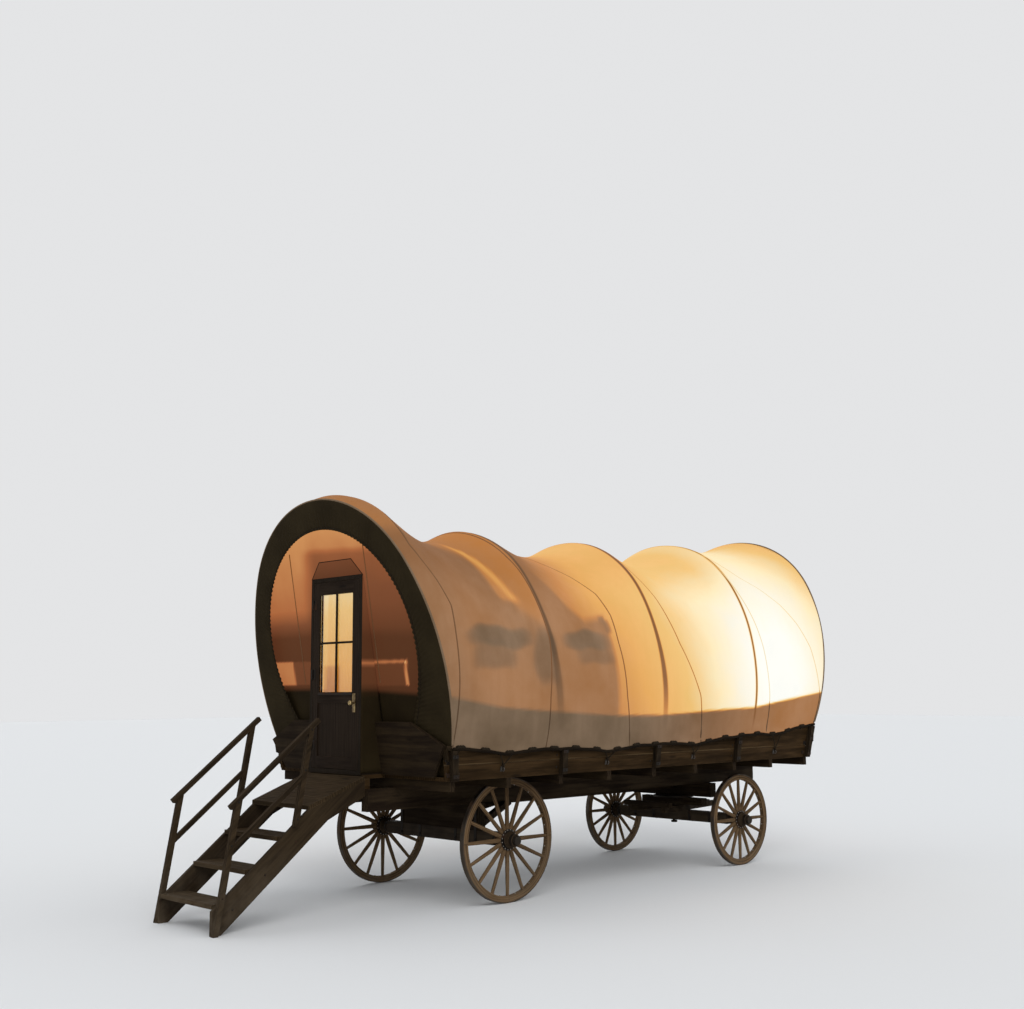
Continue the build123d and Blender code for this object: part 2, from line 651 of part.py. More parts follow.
def axle(x, diameter):
    """Axle timber with iron arms, shoulder collars and end nuts, in one piece."""
    z = diameter / 2
    hub_in = WHEEL_Y - HUB_L / 2 - SEAT
    hub_out = WHEEL_Y + HUB_L / 2 + SEAT
    body = block(x - AXLE_W / 2, x + AXLE_W / 2, -hub_in + COLLAR_L, hub_in - COLLAR_L,
                 z - AXLE_H / 2, z + AXLE_H / 2)
    turned = Cylinder(ARM_R, 2 * hub_out + 10)
    for sign in (-1, 1):
        turned += Pos(0, 0, sign * (hub_in - COLLAR_L)) * Cylinder(COLLAR_R, 2 * COLLAR_L)
        turned += Pos(0, 0, sign * (hub_out + NUT_L / 2)) * Cylinder(NUT_R, NUT_L)
    return body + Pos(x, 0, z) * Rot(90, 0, 0) * turned


# Rear gear, fixed to the floor beams
rear_top = REAR_WHEEL_D / 2 + AXLE_H / 2
parts["rear_axle"] = [axle(REAR_AXLE_X, REAR_WHEEL_D)]
reach_low = BEAM_LOW - REACH_H
reach_mid = BEAM_LOW - REACH_H / 2
rear_bolster = block(REAR_AXLE_X - BOLSTER_W / 2, REAR_AXLE_X + BOLSTER_W / 2, -BOLSTER_L / 2,
                     BOLSTER_L / 2, rear_top, BEAM_LOW)
parts["rear_bolster"] = [rear_bolster]
hound_end = (REAR_AXLE_X + REAR_HOUND_L, REACH_W / 2 + HOUND_W / 2, reach_mid - 20)
rear_hound = bar((REAR_AXLE_X + AXLE_W / 2 - 20, REAR_HOUND_SPREAD, rear_top - HOUND_H / 2 - 5),
                 hound_end, HOUND_W, HOUND_H)
rear_hound -= block(REAR_AXLE_X - 200, REAR_AXLE_X + AXLE_W / 2 + SEAT, 0, 900, 0, 900)
rear_hound -= block(0, LENGTH, -900, REACH_W / 2 + SEAT, 0, BOARD_Z)
parts["rear_hounds"] = both_sides(rear_hound)

# Front gear: bolster and upper plate on the box; axle, hounds and lower plate turn under it
front_top = FRONT_WHEEL_D / 2 + AXLE_H / 2
sand_low = front_top + HOUND_H
sand_top = sand_low + SAND_BOLSTER_H
plate_mid = sand_top + PLATE_T
upper_top = plate_mid + SEAT + PLATE_T
front_bolster = block(FRONT_AXLE_X - BOLSTER_W / 2, FRONT_AXLE_X + BOLSTER_W / 2, -BOLSTER_L / 2,
                      BOLSTER_L / 2, upper_top, BEAM_LOW)
king = Pos(FRONT_AXLE_X, 0, 0) * Cylinder(KING_R, BEAM_LOW, align=(Align.CENTER, Align.CENTER, Align.MIN))
bore = Pos(FRONT_AXLE_X, 0, 0) * Cylinder(KING_R + RUNNING, BEAM_LOW, align=(Align.CENTER, Align.CENTER, Align.MIN))
axle_low = FRONT_WHEEL_D / 2 - AXLE_H / 2
parts["front_bolster"] = [front_bolster]
parts["reach_pole"] = [block(REAR_AXLE_X + BOLSTER_W / 2 + SEAT, FRONT_AXLE_X - BOLSTER_W / 2 - SEAT,
                             -REACH_W / 2, REACH_W / 2, reach_low, BEAM_LOW)]
plate_at = Pos(FRONT_AXLE_X, 0, 0)
parts["upper_turning_plate"] = [
    plate_at * Pos(0, 0, plate_mid + SEAT + PLATE_T / 2) * Cylinder(PLATE_R, PLATE_T)]
pin = king & block(0, LENGTH, -900, 900, axle_low - 40, plate_mid + SEAT)
pin += plate_at * Pos(0, 0, axle_low - 26) * Cylinder(2 * KING_R, 24)
parts["king_pin"] = [pin]
parts["front_axle"] = [axle(FRONT_AXLE_X, FRONT_WHEEL_D) - bore]
parts["lower_turning_plate"] = [
    plate_at * Pos(0, 0, sand_top + PLATE_T / 2) * Cylinder(PLATE_R, PLATE_T) - bore]
sand_bolster = block(FRONT_AXLE_X - BOLSTER_W / 2, FRONT_AXLE_X + BOLSTER_W / 2,
                     -SAND_BOLSTER_L / 2, SAND_BOLSTER_L / 2, sand_low, sand_top)
parts["sand_bolster"] = [sand_bolster - bore]

hound_z = front_top + HOUND_H / 2
jaw_y = JAW_GAP / 2 + HOUND_W / 2
jaw_x0 = FRONT_AXLE_X + FRONT_HOUND_FRONT - JAW_L
hound = bar((FRONT_AXLE_X - FRONT_HOUND_BACK, FRONT_HOUND_SPREAD * 1.4, hound_z),
            (FRONT_AXLE_X, FRONT_HOUND_SPREAD, hound_z), HOUND_W, HOUND_H)
hound += bar((FRONT_AXLE_X, FRONT_HOUND_SPREAD, hound_z), (jaw_x0, jaw_y, hound_z), HOUND_W, HOUND_H)
hound += block(jaw_x0 - 5, jaw_x0 + JAW_L, JAW_GAP / 2, JAW_GAP / 2 + HOUND_W, front_top, sand_low)
hound += Pos(FRONT_AXLE_X, FRONT_HOUND_SPREAD, hound_z) * Cylinder(HOUND_W / 2, HOUND_H)
sway = block(FRONT_AXLE_X - FRONT_HOUND_BACK, FRONT_AXLE_X - FRONT_HOUND_BACK + SWAY_BAR_W,
             -SWAY_BAR_L / 2, SWAY_BAR_L / 2, sand_low, sand_low + 60)
pin_x = jaw_x0 + JAW_L - TONGUE_PIN_IN
eye = Pos(pin_x, 0, hound_z) * Rot(90, 0, 0) * Cylinder(TONGUE_PIN_R, 900)
hounds = [solid - eye for solid in both_sides(hound)]
parts["front_hounds"] = hounds
parts["sway_bar"] = [sway]

# Rings on the box sides where the canopy's tie ropes are made fast
rings = []
for x in TIE_X:
    eye_plate = Pos(0, -SEAT - TIE_PLATE_T / 2, 0) * Box(TIE_PLATE_W, TIE_PLATE_T, TIE_PLATE_H)
    ring = Cylinder(TIE_RING_R, TIE_RING_BAR) - Cylinder(TIE_RING_R - TIE_RING_BAR, TIE_RING_BAR)
    ring = Pos(0, -SEAT - TIE_RING_R + TIE_RING_BAR / 2, 0) * Rot(0, 90, 0) * ring
    at_board = Pos(x, -flare_y(TIE_RING_Z), TIE_RING_Z) * Rot(FLARE, 0, 0)
    rings += both_sides(at_board * (eye_plate + ring - block(-99, 99, -SEAT, 99, -99, 99)))
parts["tie_rings"] = rings

os.makedirs("parts", exist_ok=True)
solids_of = {name: [Solid(s.solids()[0].wrapped) for s in shapes] for name, shapes in parts.items()}
everything = Compound(children=[solid for solids in solids_of.values() for solid in solids])
MIDDLE_X = everything.bounding_box().center().X
for name, solids in solids_of.items():
    export_step(Compound(children=[Pos(-MIDDLE_X, 0, 0) * s for s in solids]), f"parts/{name}.step")
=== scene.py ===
"""Looks of the covered wagon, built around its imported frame. Lengths are metres.

Stations: x = 0 at the rear post of the box, growing to the steering axle, y to the wagon's
left, z = 0 on the ground. Every new mesh is moved by REAR_POST_X into the frame's own place.
"""

import bpy
import numpy as np
from mathutils import Matrix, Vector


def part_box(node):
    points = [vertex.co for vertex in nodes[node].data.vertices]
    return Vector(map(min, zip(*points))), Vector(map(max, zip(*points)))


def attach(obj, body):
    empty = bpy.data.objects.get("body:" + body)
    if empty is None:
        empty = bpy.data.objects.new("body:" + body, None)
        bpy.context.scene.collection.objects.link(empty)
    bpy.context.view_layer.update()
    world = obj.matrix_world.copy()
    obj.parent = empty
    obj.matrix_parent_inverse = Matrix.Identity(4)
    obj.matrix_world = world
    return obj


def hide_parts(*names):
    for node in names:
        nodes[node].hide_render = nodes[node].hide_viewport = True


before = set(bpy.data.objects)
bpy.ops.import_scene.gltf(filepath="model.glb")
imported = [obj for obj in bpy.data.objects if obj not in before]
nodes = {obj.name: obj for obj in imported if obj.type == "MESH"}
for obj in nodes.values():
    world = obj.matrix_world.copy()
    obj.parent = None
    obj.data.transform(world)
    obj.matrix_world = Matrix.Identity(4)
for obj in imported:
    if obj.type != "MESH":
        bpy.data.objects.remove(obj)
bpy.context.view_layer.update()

# Standing place: the wagon is seen from its right and from behind, at the eye height of a
# person. The nearer rear wheel's middle ties the stations to the frame.
wheel_low, wheel_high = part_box("wheel_rear_right")
REAR_AXLE_X, FRONT_AXLE_X, WHEEL_Y = 1.080, 5.100, 1.045
REAR_POST_X = (wheel_low.x + wheel_high.x) / 2 - REAR_AXLE_X
EYE = np.array((REAR_POST_X - 8.237, -10.883, 2.1605))
YAW, PITCH, ROLL, LENS_MM = 0.8072, 0.1465, -0.0062, 44.53


def placed(axes, place):
    """Matrix of three unit axes and a place, each a column."""
    return Matrix(np.vstack((np.column_stack((*axes, place)), (0, 0, 0, 1))).tolist())


forward = np.array((np.cos(PITCH) * np.cos(YAW), np.cos(PITCH) * np.sin(YAW), np.sin(PITCH)))
level = np.array((np.sin(YAW), -np.cos(YAW), 0))
upward = np.cross(level, forward)
right = np.cos(ROLL) * level + np.sin(ROLL) * upward
above = np.cos(ROLL) * upward - np.sin(ROLL) * level
eye = bpy.data.objects.new("eye", bpy.data.cameras.new("eye"))
eye.data.lens = LENS_MM
eye.data.clip_end = 500
eye.matrix_world = placed((right, above, -forward), EYE)
bpy.context.scene.collection.objects.link(eye)
bpy.context.scene.camera = eye
bpy.context.scene.view_settings.view_transform = "Standard"


# Light: a pale sky that lights softly all round, and three wide suns, at a level at which a
# colour renders about as it is written.
def fed(tree, node, feeds):
    """The node with its inputs linked to sockets or set to plain values, colours as three shares."""
    for key, value in dict(feeds).items():
        if isinstance(value, bpy.types.NodeSocket):
            tree.links.new(value, node.inputs[key])
        elif node.inputs[key].type == "RGBA":
            node.inputs[key].default_value = (*value, 1)
        else:
            node.inputs[key].default_value = value
    return node


def add(tree, kind, feeds=(), **settings):
    """New node with its settings and its fed inputs."""
    node = tree.nodes.new("ShaderNode" + kind)
    for name, value in settings.items():
        setattr(node, name, value)
    return fed(tree, node, feeds)


def maths(tree, operation, *values):
    """Result of one operation on values or sockets."""
    return add(tree, "Math", dict(enumerate(values)), operation=operation).outputs[0]


SKY_SEEN, SKY_LIGHT, SKY_STRENGTH = (0.775, 0.78, 0.79), (0.90, 0.95, 1), 0.55
SUNS = (  # name, direction that it shines from, how wide it looks, strength
    ("key", (-6.0, -9.0, 8.5), 0.7, 1.3),
    ("fill", (8.0, -6.0, 5.0), 1.4, 0.6),
    ("back", (2.0, 9.0, 8.0), 1.4, 0.6),
)
world = bpy.context.scene.world or bpy.data.worlds.new("studio")
bpy.context.scene.world = world
world.use_nodes = True
sky = world.node_tree
seen = add(sky, "LightPath").outputs
direct = maths(sky, "MAXIMUM", seen["Is Camera Ray"], seen["Is Glossy Ray"])
direct = maths(sky, "MAXIMUM", direct, seen["Is Transmission Ray"])
pale = add(sky, "Background", {"Color": SKY_SEEN, "Strength": 1.0})
soft = add(sky, "Background", {"Color": SKY_LIGHT, "Strength": SKY_STRENGTH})
both = add(sky, "MixShader", {0: direct, 1: soft.outputs[0], 2: pale.outputs[0]})
sky.links.new(both.outputs[0], sky.nodes["World Output"].inputs["Surface"])
for name, place, wide, power in SUNS:
    sun = bpy.data.objects.new(name, bpy.data.lights.new(name, "SUN"))
    sun.data.angle = wide
    sun.data.energy = power
    away = np.array(place) / np.linalg.norm(place)
    side = np.cross((0, 0, 1), away)
    side = side / np.linalg.norm(side)
    sun.matrix_world = placed((side, np.cross(away, side), away), place)
    bpy.context.scene.collection.objects.link(sun)


# Floor: one plain pale sheet, far wider than the wagon, that only takes its shadow.
def grid_faces(rows, cols, wrap_rows=False, wrap_cols=False):
    """Quads of a numbered grid: each joins its row and the next, its column and the next."""
    r = np.arange(rows if wrap_rows else rows - 1)
    c = np.arange(cols if wrap_cols else cols - 1)
    r, c = (way.ravel() for way in np.meshgrid(r, c, indexing="ij"))
    r2, c2 = (r + 1) % rows, (c + 1) % cols
    return np.column_stack((r * cols + c, r2 * cols + c, r2 * cols + c2, r * cols + c2))


def new_piece(name, points, faces, body, slot, material, uv=None, smooth=True, **values):
    """Mesh piece from arrays of points in stations, corners of faces and values at points."""
    mesh = bpy.data.meshes.new(name)
    points = np.asarray(points, float).reshape(-1, 3) + (REAR_POST_X, 0, 0)
    mesh.vertices.add(len(points))
    mesh.vertices.foreach_set("co", points.ravel())
    mesh.loops.add(faces.size)
    mesh.loops.foreach_set("vertex_index", faces.ravel())
    mesh.polygons.add(len(faces))
    mesh.polygons.foreach_set("loop_start", np.arange(0, faces.size, faces.shape[1]))
    mesh.polygons.foreach_set("use_smooth", np.full(len(faces), smooth))
    if uv is not None:
        layer = mesh.uv_layers.new(name="cloth")
        layer.data.foreach_set("uv", np.asarray(uv, float).reshape(-1, 2)[faces.ravel()].ravel())
    for key, value in values.items():
        layer = mesh.attributes.new(key, "FLOAT", "POINT")
        layer.data.foreach_set("value", np.asarray(value, float).ravel())
    mesh.update(calc_edges=True)
    mesh.validate()
    mesh.materials.append(material)
    piece = bpy.data.objects.new(name, mesh)
    bpy.context.scene.collection.objects.link(piece)
    if body:
        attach(piece, body)
    return piece


def finish_of(name, rough=0.5, gloss=0.5):
    """A named material, its node tree and its surface shader, of a roughness and a gloss."""
    material = bpy.data.materials.new(name)
    material.use_nodes = True
    surface = material.node_tree.nodes["Principled BSDF"]
    surface.inputs["Roughness"].default_value = rough
    surface.inputs["Specular IOR Level"].default_value = gloss
    return material, material.node_tree, surface


def mixed(tree, factor, a, b):
    """Two colours mixed by a factor."""
    return add(tree, "MixRGB", {0: factor, 1: a, 2: b}).outputs[0]


FLOOR_HALF, FLOOR_TONES = 90.0, ((0.755, 0.755, 0.755), (0.765, 0.765, 0.765))
floor_finish, tree, surface = finish_of("studio_floor", rough=0.9)
speck = add(tree, "TexNoise", {"Scale": 0.6, "Detail": 3.0}).outputs["Fac"]
fed(tree, surface, {"Base Color": mixed(tree, speck, *FLOOR_TONES)})
corners = FLOOR_HALF * np.array(((-1, -1, 0), (1, -1, 0), (1, 1, 0), (-1, 1, 0)))
floor = new_piece("studio_floor", corners, np.array([[0, 1, 2, 3]]), None, None, floor_finish)

# Canvas canopy: one sheet of heavy cotton duck over five bent bows, drawn tight so that it
# dips between them, sewn from lengths with lapped seams, its hem pulled down at each bay
# by tie ropes.
SWEEP_X, SWEEP_Z, SWEEP_R = 2.300, 1.585, 48.0
BOW_X = np.array((-0.045, 1.412, 3.094, 4.794, 6.148))
BOW_LEAN = np.radians((-10, -4.2, 0, 3.7, 10))
BOW_LEG = np.array((0.730, 0.503, 0.514, 0.560, 0.660))
BAY_DIP = np.array((0.270, 0.230, 0.250, 0.110))
EDGE_X, EDGE_LEAN, EDGE_LEG = -0.0756, np.radians(-13.7), 0.698
BOW_HALF_W, BOW_FOOT_Y, SIDE_R, CROWN_RISE = 0.025, 1.4733, 2.200, 1.850
SKIN_OUT = 0.0234
TIE_X = np.array((0.64, 2.20, 3.70, 5.33))
HEM_HANGS, BELL_DEPTH, BELL_HALF, KNOT_DEPTH, KNOT_APART = 0.026, 0.040, 0.30, 0.006, 0.378


def rail_z(x):
    """Height of the box's top rail: the low part of a circle, lowest at SWEEP_X."""
    return SWEEP_Z + SWEEP_R - np.sqrt(SWEEP_R**2 - (x - SWEEP_X) ** 2)


def arch_point(v, foot_y, leg, side_r, rise, offset, skirt=0.0):
    """Place and outward direction on a three-centre arch, at share v of its half length.

    v runs from -1 at the right hem over 0 at the crown to 1 at the left hem. The crown's
    arc and the side's arc share a tangent where they meet, offset grows both radii, and
    past the foot the line hangs straight down by skirt.
    """
    centre = np.sqrt(side_r**2 - leg**2) - foot_y
    crown_r = (side_r**2 - rise**2 - centre**2) / (2 * (side_r - rise))
    crown_z = leg + rise - crown_r
    joint = np.arctan2(crown_z - leg, centre)
    low = -np.arcsin(leg / (side_r + offset))
    crown_len = (crown_r + offset) * (np.pi / 2 - joint)
    side_len = (side_r + offset) * (joint - low)
    s = np.abs(v) * (crown_len + side_len + skirt)
    on_crown = s < crown_len
    turn = np.where(on_crown, np.pi / 2 - s / (crown_r + offset), joint - (s - crown_len) / (side_r + offset))
    turn = np.maximum(turn, low)
    radius = np.where(on_crown, crown_r, side_r) + offset
    y = np.where(on_crown, 0, -centre) + radius * np.cos(turn)
    z = np.where(on_crown, crown_z, leg) + radius * np.sin(turn) - np.maximum(s - crown_len - side_len, 0)
    sign = np.where(v < 0, -1, 1)
    return sign * y, z, sign * np.cos(turn), np.sin(turn), sign * s


def canopy_rows(x):
    """The tipped plane and the arch at stations x along the ridge line of the rails.

    Between two bows every value runs straight from one to the next, and the rise dips by
    a parabola. Over a bow's own width they stand still, and past the rear bow the skin
    runs out to the canopy's edge, which leans further.
    """
    sides = np.repeat(BOW_X, 2) + np.tile((-BOW_HALF_W, BOW_HALF_W), 5)
    stations = np.concatenate(((EDGE_X,), sides))
    lean = np.interp(x, stations, np.concatenate(((EDGE_LEAN,), np.repeat(BOW_LEAN, 2))))
    leg = np.interp(x, stations, np.concatenate(((EDGE_LEG,), np.repeat(BOW_LEG, 2))))
    bay = np.interp(x, sides, np.repeat(np.arange(5.0), 2))
    dip = BAY_DIP[np.minimum(bay.astype(int), 3)]
    return lean, leg, 4 * dip * (bay % 1) * (1 - bay % 1)


def hem_skirt(x):
    """How far the hem hangs below the rail's top: a bell at each tie, a wave from knot to knot."""
    bells = np.exp(-(((x[..., None] - TIE_X) / BELL_HALF) ** 2)).sum(-1)
    knots = 0.5 + 0.5 * np.cos(2 * np.pi * (x - TIE_X[0]) / KNOT_APART)
    return HEM_HANGS + BELL_DEPTH * bells + KNOT_DEPTH * knots


def canopy_surface(x, v, lift=0.0):
    """Points of the canopy's skin for arrays of station and share, lifted outward."""
    lean, leg, dip = canopy_rows(x)
    arch = arch_point(v, BOW_FOOT_Y, leg, SIDE_R, CROWN_RISE - dip, SKIN_OUT, hem_skirt(x))
    y, z, out_y, out_z, s = arch
    z = z + lift * out_z
    return np.stack((x + z * np.sin(lean), y + lift * out_y, rail_z(x) + z * np.cos(lean)), -1), s


def canopy_creases(x, s, half):
    """Lift of the cloth: slow waves all over, and pull lines that fan up from each tie.

    A pull line is a cosine of the angle about the tie, faded with the height above it.
    """
    up = half - np.abs(s)
    waves = 0.0022 * (np.sin(3.1 * x + 1.7 * s) + np.sin(5.3 * x - 2.9 * s + 1) + np.sin(1.3 * x + 6.1 * s))
    fans = 0
    for tie in TIE_X:
        angle = np.arctan2(x - tie, up + 0.06)
        fans = fans + 0.0045 * np.exp(-up / 0.30 - np.abs(x - tie) / 0.45) * np.cos(11 * angle)
    return waves + fans + 0.003


NEAR_BOW = np.array((0.012, 0.03, 0.06))
ridge_x = [np.linspace(EDGE_X, BOW_X[0] - BOW_HALF_W, 8)[:-1]]
ridge_x += [np.linspace(bow - BOW_HALF_W, bow + BOW_HALF_W, 4) for bow in BOW_X]
for rear, front in zip(BOW_X[:-1], BOW_X[1:]):
    ridge_x.append(rear + BOW_HALF_W + NEAR_BOW)
    ridge_x.append(np.linspace(rear + 0.125, front - 0.125, 34))
    ridge_x.append(front - BOW_HALF_W - NEAR_BOW)
ridge_x = np.sort(np.concatenate(ridge_x))
cloth_x, cloth_v = np.meshgrid(ridge_x, np.linspace(-1, 1, 251), indexing="ij")
cloth_s = canopy_surface(cloth_x, cloth_v)[1]
cloth_half = np.abs(cloth_s[:, :1])
cloth_up = cloth_half - np.abs(cloth_s)
cloth_points = canopy_surface(cloth_x, cloth_v, canopy_creases(cloth_x, cloth_s, cloth_half))[0]
at_x, at_z = cloth_points[..., 0], cloth_points[..., 2]

# Light in the canopy: the cabin is lit from inside, so the cloth glows above the inner wall
# boards, whitest in the front bay, and dims over each bow and in soft fields low on the right.
LAMPS = (  # power, station, y, z
    (2.10, 5.35, -0.75, 2.35),
    (0.54, 3.15, 0.00, 3.00),
    (1.10, 5.35, 0.75, 2.60),
)
WALL_TOP_X = (-0.20, 0.50, 1.00, 2.30, 3.00, 4.30, 4.80, 5.35, 6.20)
WALL_TOP_Z = (2.11, 2.00, 1.965, 1.885, 1.875, 1.93, 1.945, 2.02, 2.12)
BOW_LINES = (  # bow, width low down and high up, height over which the line fades in
    (1, 1.20, 0.55, 0.8),
    (2, 0.90, 0.60, 0.8),
    (3, 0.50, 0.50, 0.3),
)
BOW_SOFT, BOW_DEPTH = 0.060, 0.74
REAR_LIGHT, SECOND_LIGHT, FRONT_LEAK = 0.195, 0.215, 0.235
# Painted shadows: soft dark fields that dim the cloth's light low on the right side
PAINTED_SHADOW_FIELDS = (  # station, z, half-length, half-height, depth: low on the right side
    (0.57, 2.71, 0.45, 0.105, 0.85),
    (0.41, 2.52, 0.30, 0.140, 0.55),
    (1.20, 2.50, 0.17, 0.270, 0.60),
    (1.90, 2.70, 0.34, 0.100, 0.80),
    (1.97, 2.54, 0.27, 0.100, 0.45),
    (2.26, 2.90, 0.05, 0.090, 0.40),
)


def lamp_light(points):
    """Light from inside on cloth: the sum of power over squared distance, eased to 1."""
    total = 0
    for power, x, y, z in LAMPS:
        total = total + power / ((points - (x, y, z)) ** 2).sum(-1)
    return 1 - np.exp(-total)


def ease(low, high, value):
    """0 below low, 1 above high, and a smooth step between."""
    t = np.clip((value - low) / (high - low), 0, 1)
    return t * t * (3 - 2 * t)


def lit_over(line_x, line_z, soft):
    """1 above a line of stations and heights on the cloth, 0 below, with a soft edge."""
    return ease(-soft, soft, at_z - np.interp(at_x, line_x, line_z))


# A bow's shadow is a sharp line high up, and wide and pale where the cloth stands off it
bow_at_height = BOW_X + (at_z[..., None] - rail_z(BOW_X)) * np.tan(BOW_LEAN)
over_bow = np.zeros(cloth_x.shape)
for bow, wide_low, wide_high, fade in BOW_LINES:
    wide = np.interp(at_z, (2.3, 3.0), (wide_low, wide_high))
    line = 1 - ease(BOW_HALF_W * wide, BOW_SOFT * wide, np.abs(at_x - bow_at_height[..., bow]))
    line = line * np.interp(wide, (0.5, 1.2), (1.0, 0.6)) * ease(0.0, fade, cloth_up)
    over_bow = np.maximum(over_bow, line)
# The bay behind the second bow has an orange field and one bright streak high up
orange = lit_over((0.30, 0.70, 0.82, 0.95, 1.35), (3.75, 3.55, 3.25, 2.98, 2.78), 0.11)
streak_x = np.interp(at_z, (3.10, 3.20, 3.42, 3.60, 3.72), (0.88, 0.83, 0.77, 0.73, 0.68))
streak_wide = np.interp(at_z, (3.15, 3.42, 3.60, 3.75), (0.130, 0.095, 0.060, 0.030))
streak = 1 - ease(0.5 * streak_wide, 1.3 * streak_wide, np.abs(at_x - streak_x))
streak = streak * ease(3.04, 3.14, at_z) * (1 - ease(3.66, 3.80, at_z))
rear_bay = REAR_LIGHT + 0.090 * orange + 0.12 * streak + 0.02 * np.sin(2.6 * at_z + 3.1 * at_x)
rear_bay = rear_bay * (0.84 + 0.16 * ease(-0.25, 0.30, at_x))
# The next bay is lit past its middle and over a slanted line, and the other two all over
lamps = lamp_light(cloth_points) * (1 - (0.22 - 0.20 * ease(4.5, 5.2, at_x)) * ease(3.15, 3.75, at_z))
past_middle = ease(2.24, 2.34, at_x)
over_line = lit_over((1.40, 1.55, 1.75, 1.95, 2.30), (3.50, 3.33, 3.07, 2.92, 2.97), 0.07)
second_bay = SECOND_LIGHT + (lamps - SECOND_LIGHT) * np.maximum(past_middle, over_line)
canopy_light = rear_bay + (second_bay - rear_bay) * ease(0.0, 0.04, at_x - bow_at_height[..., 1])
on_right = ease(0.0, -0.6, cloth_points[..., 1])
for x, z, long, high, depth in PAINTED_SHADOW_FIELDS:
    sideways = (at_x - x + 0.030 * np.sin(11 * at_z + 5 * x)) / long
    upwards = (at_z - z + 0.020 * np.sin(8 * at_x + 3 * z) + 0.010 * np.sin(19 * at_x)) / high
    inside = 1 - ease(0.15, 1.9, np.abs(sideways) ** 3 + np.abs(upwards) ** 3)
    canopy_light = canopy_light * (1 - depth * on_right * inside)
above_wall = lit_over(WALL_TOP_X, np.array(WALL_TOP_Z) + 0.005, 0.020)
canopy_light = canopy_light * (1 - BOW_DEPTH * over_bow) * above_wall
canopy_light = canopy_light + FRONT_LEAK * ease(2.2, 5.8, at_x) * (1 - above_wall)


# Cloth finish: light that passes through the canvas goes from nothing over amber to cream
# white. The cloth is plain woven, and weather leaves blotches and streaks that run down.
def shader_group(name, ins, outs, kind="Float"):
    """An empty shader group: its inputs with a value, or None for a vector, and its outputs."""
    group = bpy.data.node_groups.new(name, "ShaderNodeTree")
    for socket, value in ins.items():
        made = "NodeSocketVector" if value is None else "NodeSocketFloat"
        made = group.interface.new_socket(socket, in_out="INPUT", socket_type=made)
        if value is not None:
            made.default_value = value
    for socket in outs:
        group.interface.new_socket(socket, in_out="OUTPUT", socket_type="NodeSocket" + kind)
    return group, group.nodes.new("NodeGroupInput").outputs, group.nodes.new("NodeGroupOutput")


def noise(tree, at, scale, detail, **more):
    """Cloudy noise at a place."""
    return add(tree, "TexNoise", {"Vector": at, "Scale": scale, "Detail": detail, **more}).outputs["Fac"]


def mapped(tree, at, **change):
    """A place with its axes scaled or turned."""
    return add(tree, "Mapping", {"Vector": at, **change}).outputs[0]


def times(tree, a, b):
    """Product of two values."""
    return maths(tree, "MULTIPLY", a, b)


def ranged(tree, value, low, high, to_low=0.0, to_high=1.0):
    """A value spread so that low becomes to_low and high becomes to_high, and held there."""
    spread = {"Value": value, "From Min": low, "From Max": high, "To Min": to_low, "To Max": to_high}
    return add(tree, "MapRange", spread).outputs[0]


def toned(color, share):
    """A colour made darker or paler by a share."""
    return tuple(share * c for c in color)


def group_node(tree, group, **feeds):
    """Outputs of a shader group placed in a material, with its inputs fed."""
    return add(tree, "Group", feeds, node_tree=group).outputs


def bumped(tree, surface, height, strength, distance):
    """Feeds the surface's normal from a height in metres."""
    relief = add(tree, "Bump", {"Height": height, "Strength": strength, "Distance": distance})
    fed(tree, surface, {"Normal": relief.outputs[0]})


GLOW = (  # light on the cloth, colour that comes through
    (0.00, (0, 0, 0)),
    (0.13, (0.100, 0.030, 0.003)),
    (0.22, (0.190, 0.060, 0.007)),
    (0.32, (0.400, 0.128, 0.006)),
    (0.42, (0.620, 0.290, 0.045)),
    (0.56, (0.700, 0.430, 0.120)),
    (0.70, (0.800, 0.700, 0.440)),
    (0.95, (0.830, 0.880, 0.860)),
)
glow_group, given, out = shader_group("lamp_glow", {"Light": 0.0}, ("Color",), kind="Color")
passing = add(glow_group, "ValToRGB", {"Fac": given["Light"]})
stops = passing.color_ramp.elements
while len(stops) < len(GLOW):
    stops.new(0.5)
for stop, (light, color) in zip(stops, GLOW):
    stop.position = light
    stop.color = (*color, 1)
fed(glow_group, out, {"Color": passing.outputs["Color"]})

# Weave: two sets of crossed threads, each a sine ridge, with slubs where the yarn is thicker
weave_group, given, out = shader_group("plain_weave", {"Vector": None, "Threads": 420.0}, ("Height", "Slub"))
tree = weave_group
threads = add(tree, "VectorMath", {0: given["Vector"], "Scale": given["Threads"]}, operation="SCALE")
threads = add(tree, "SeparateXYZ", {0: threads.outputs[0]}).outputs
crossed = times(tree, maths(tree, "SINE", threads["X"]), maths(tree, "SINE", threads["Y"]))
slub = noise(tree, given["Vector"], 55.0, 4.0)
fed(tree, out, {"Height": maths(tree, "MULTIPLY_ADD", slub, 1.2, crossed), "Slub": slub})

# Weather: blotches, and streaks that run down
weather_group, given, out = shader_group("weather", {"Vector": None, "Scale": 1.0}, ("Blotch", "Streak"))
blotch = noise(weather_group, given["Vector"], given["Scale"], 5.0)
runs = mapped(weather_group, given["Vector"], Scale=(5.0, 5.0, 0.35))
fed(weather_group, out, {"Blotch": blotch, "Streak": noise(weather_group, runs, given["Scale"], 4.0)})


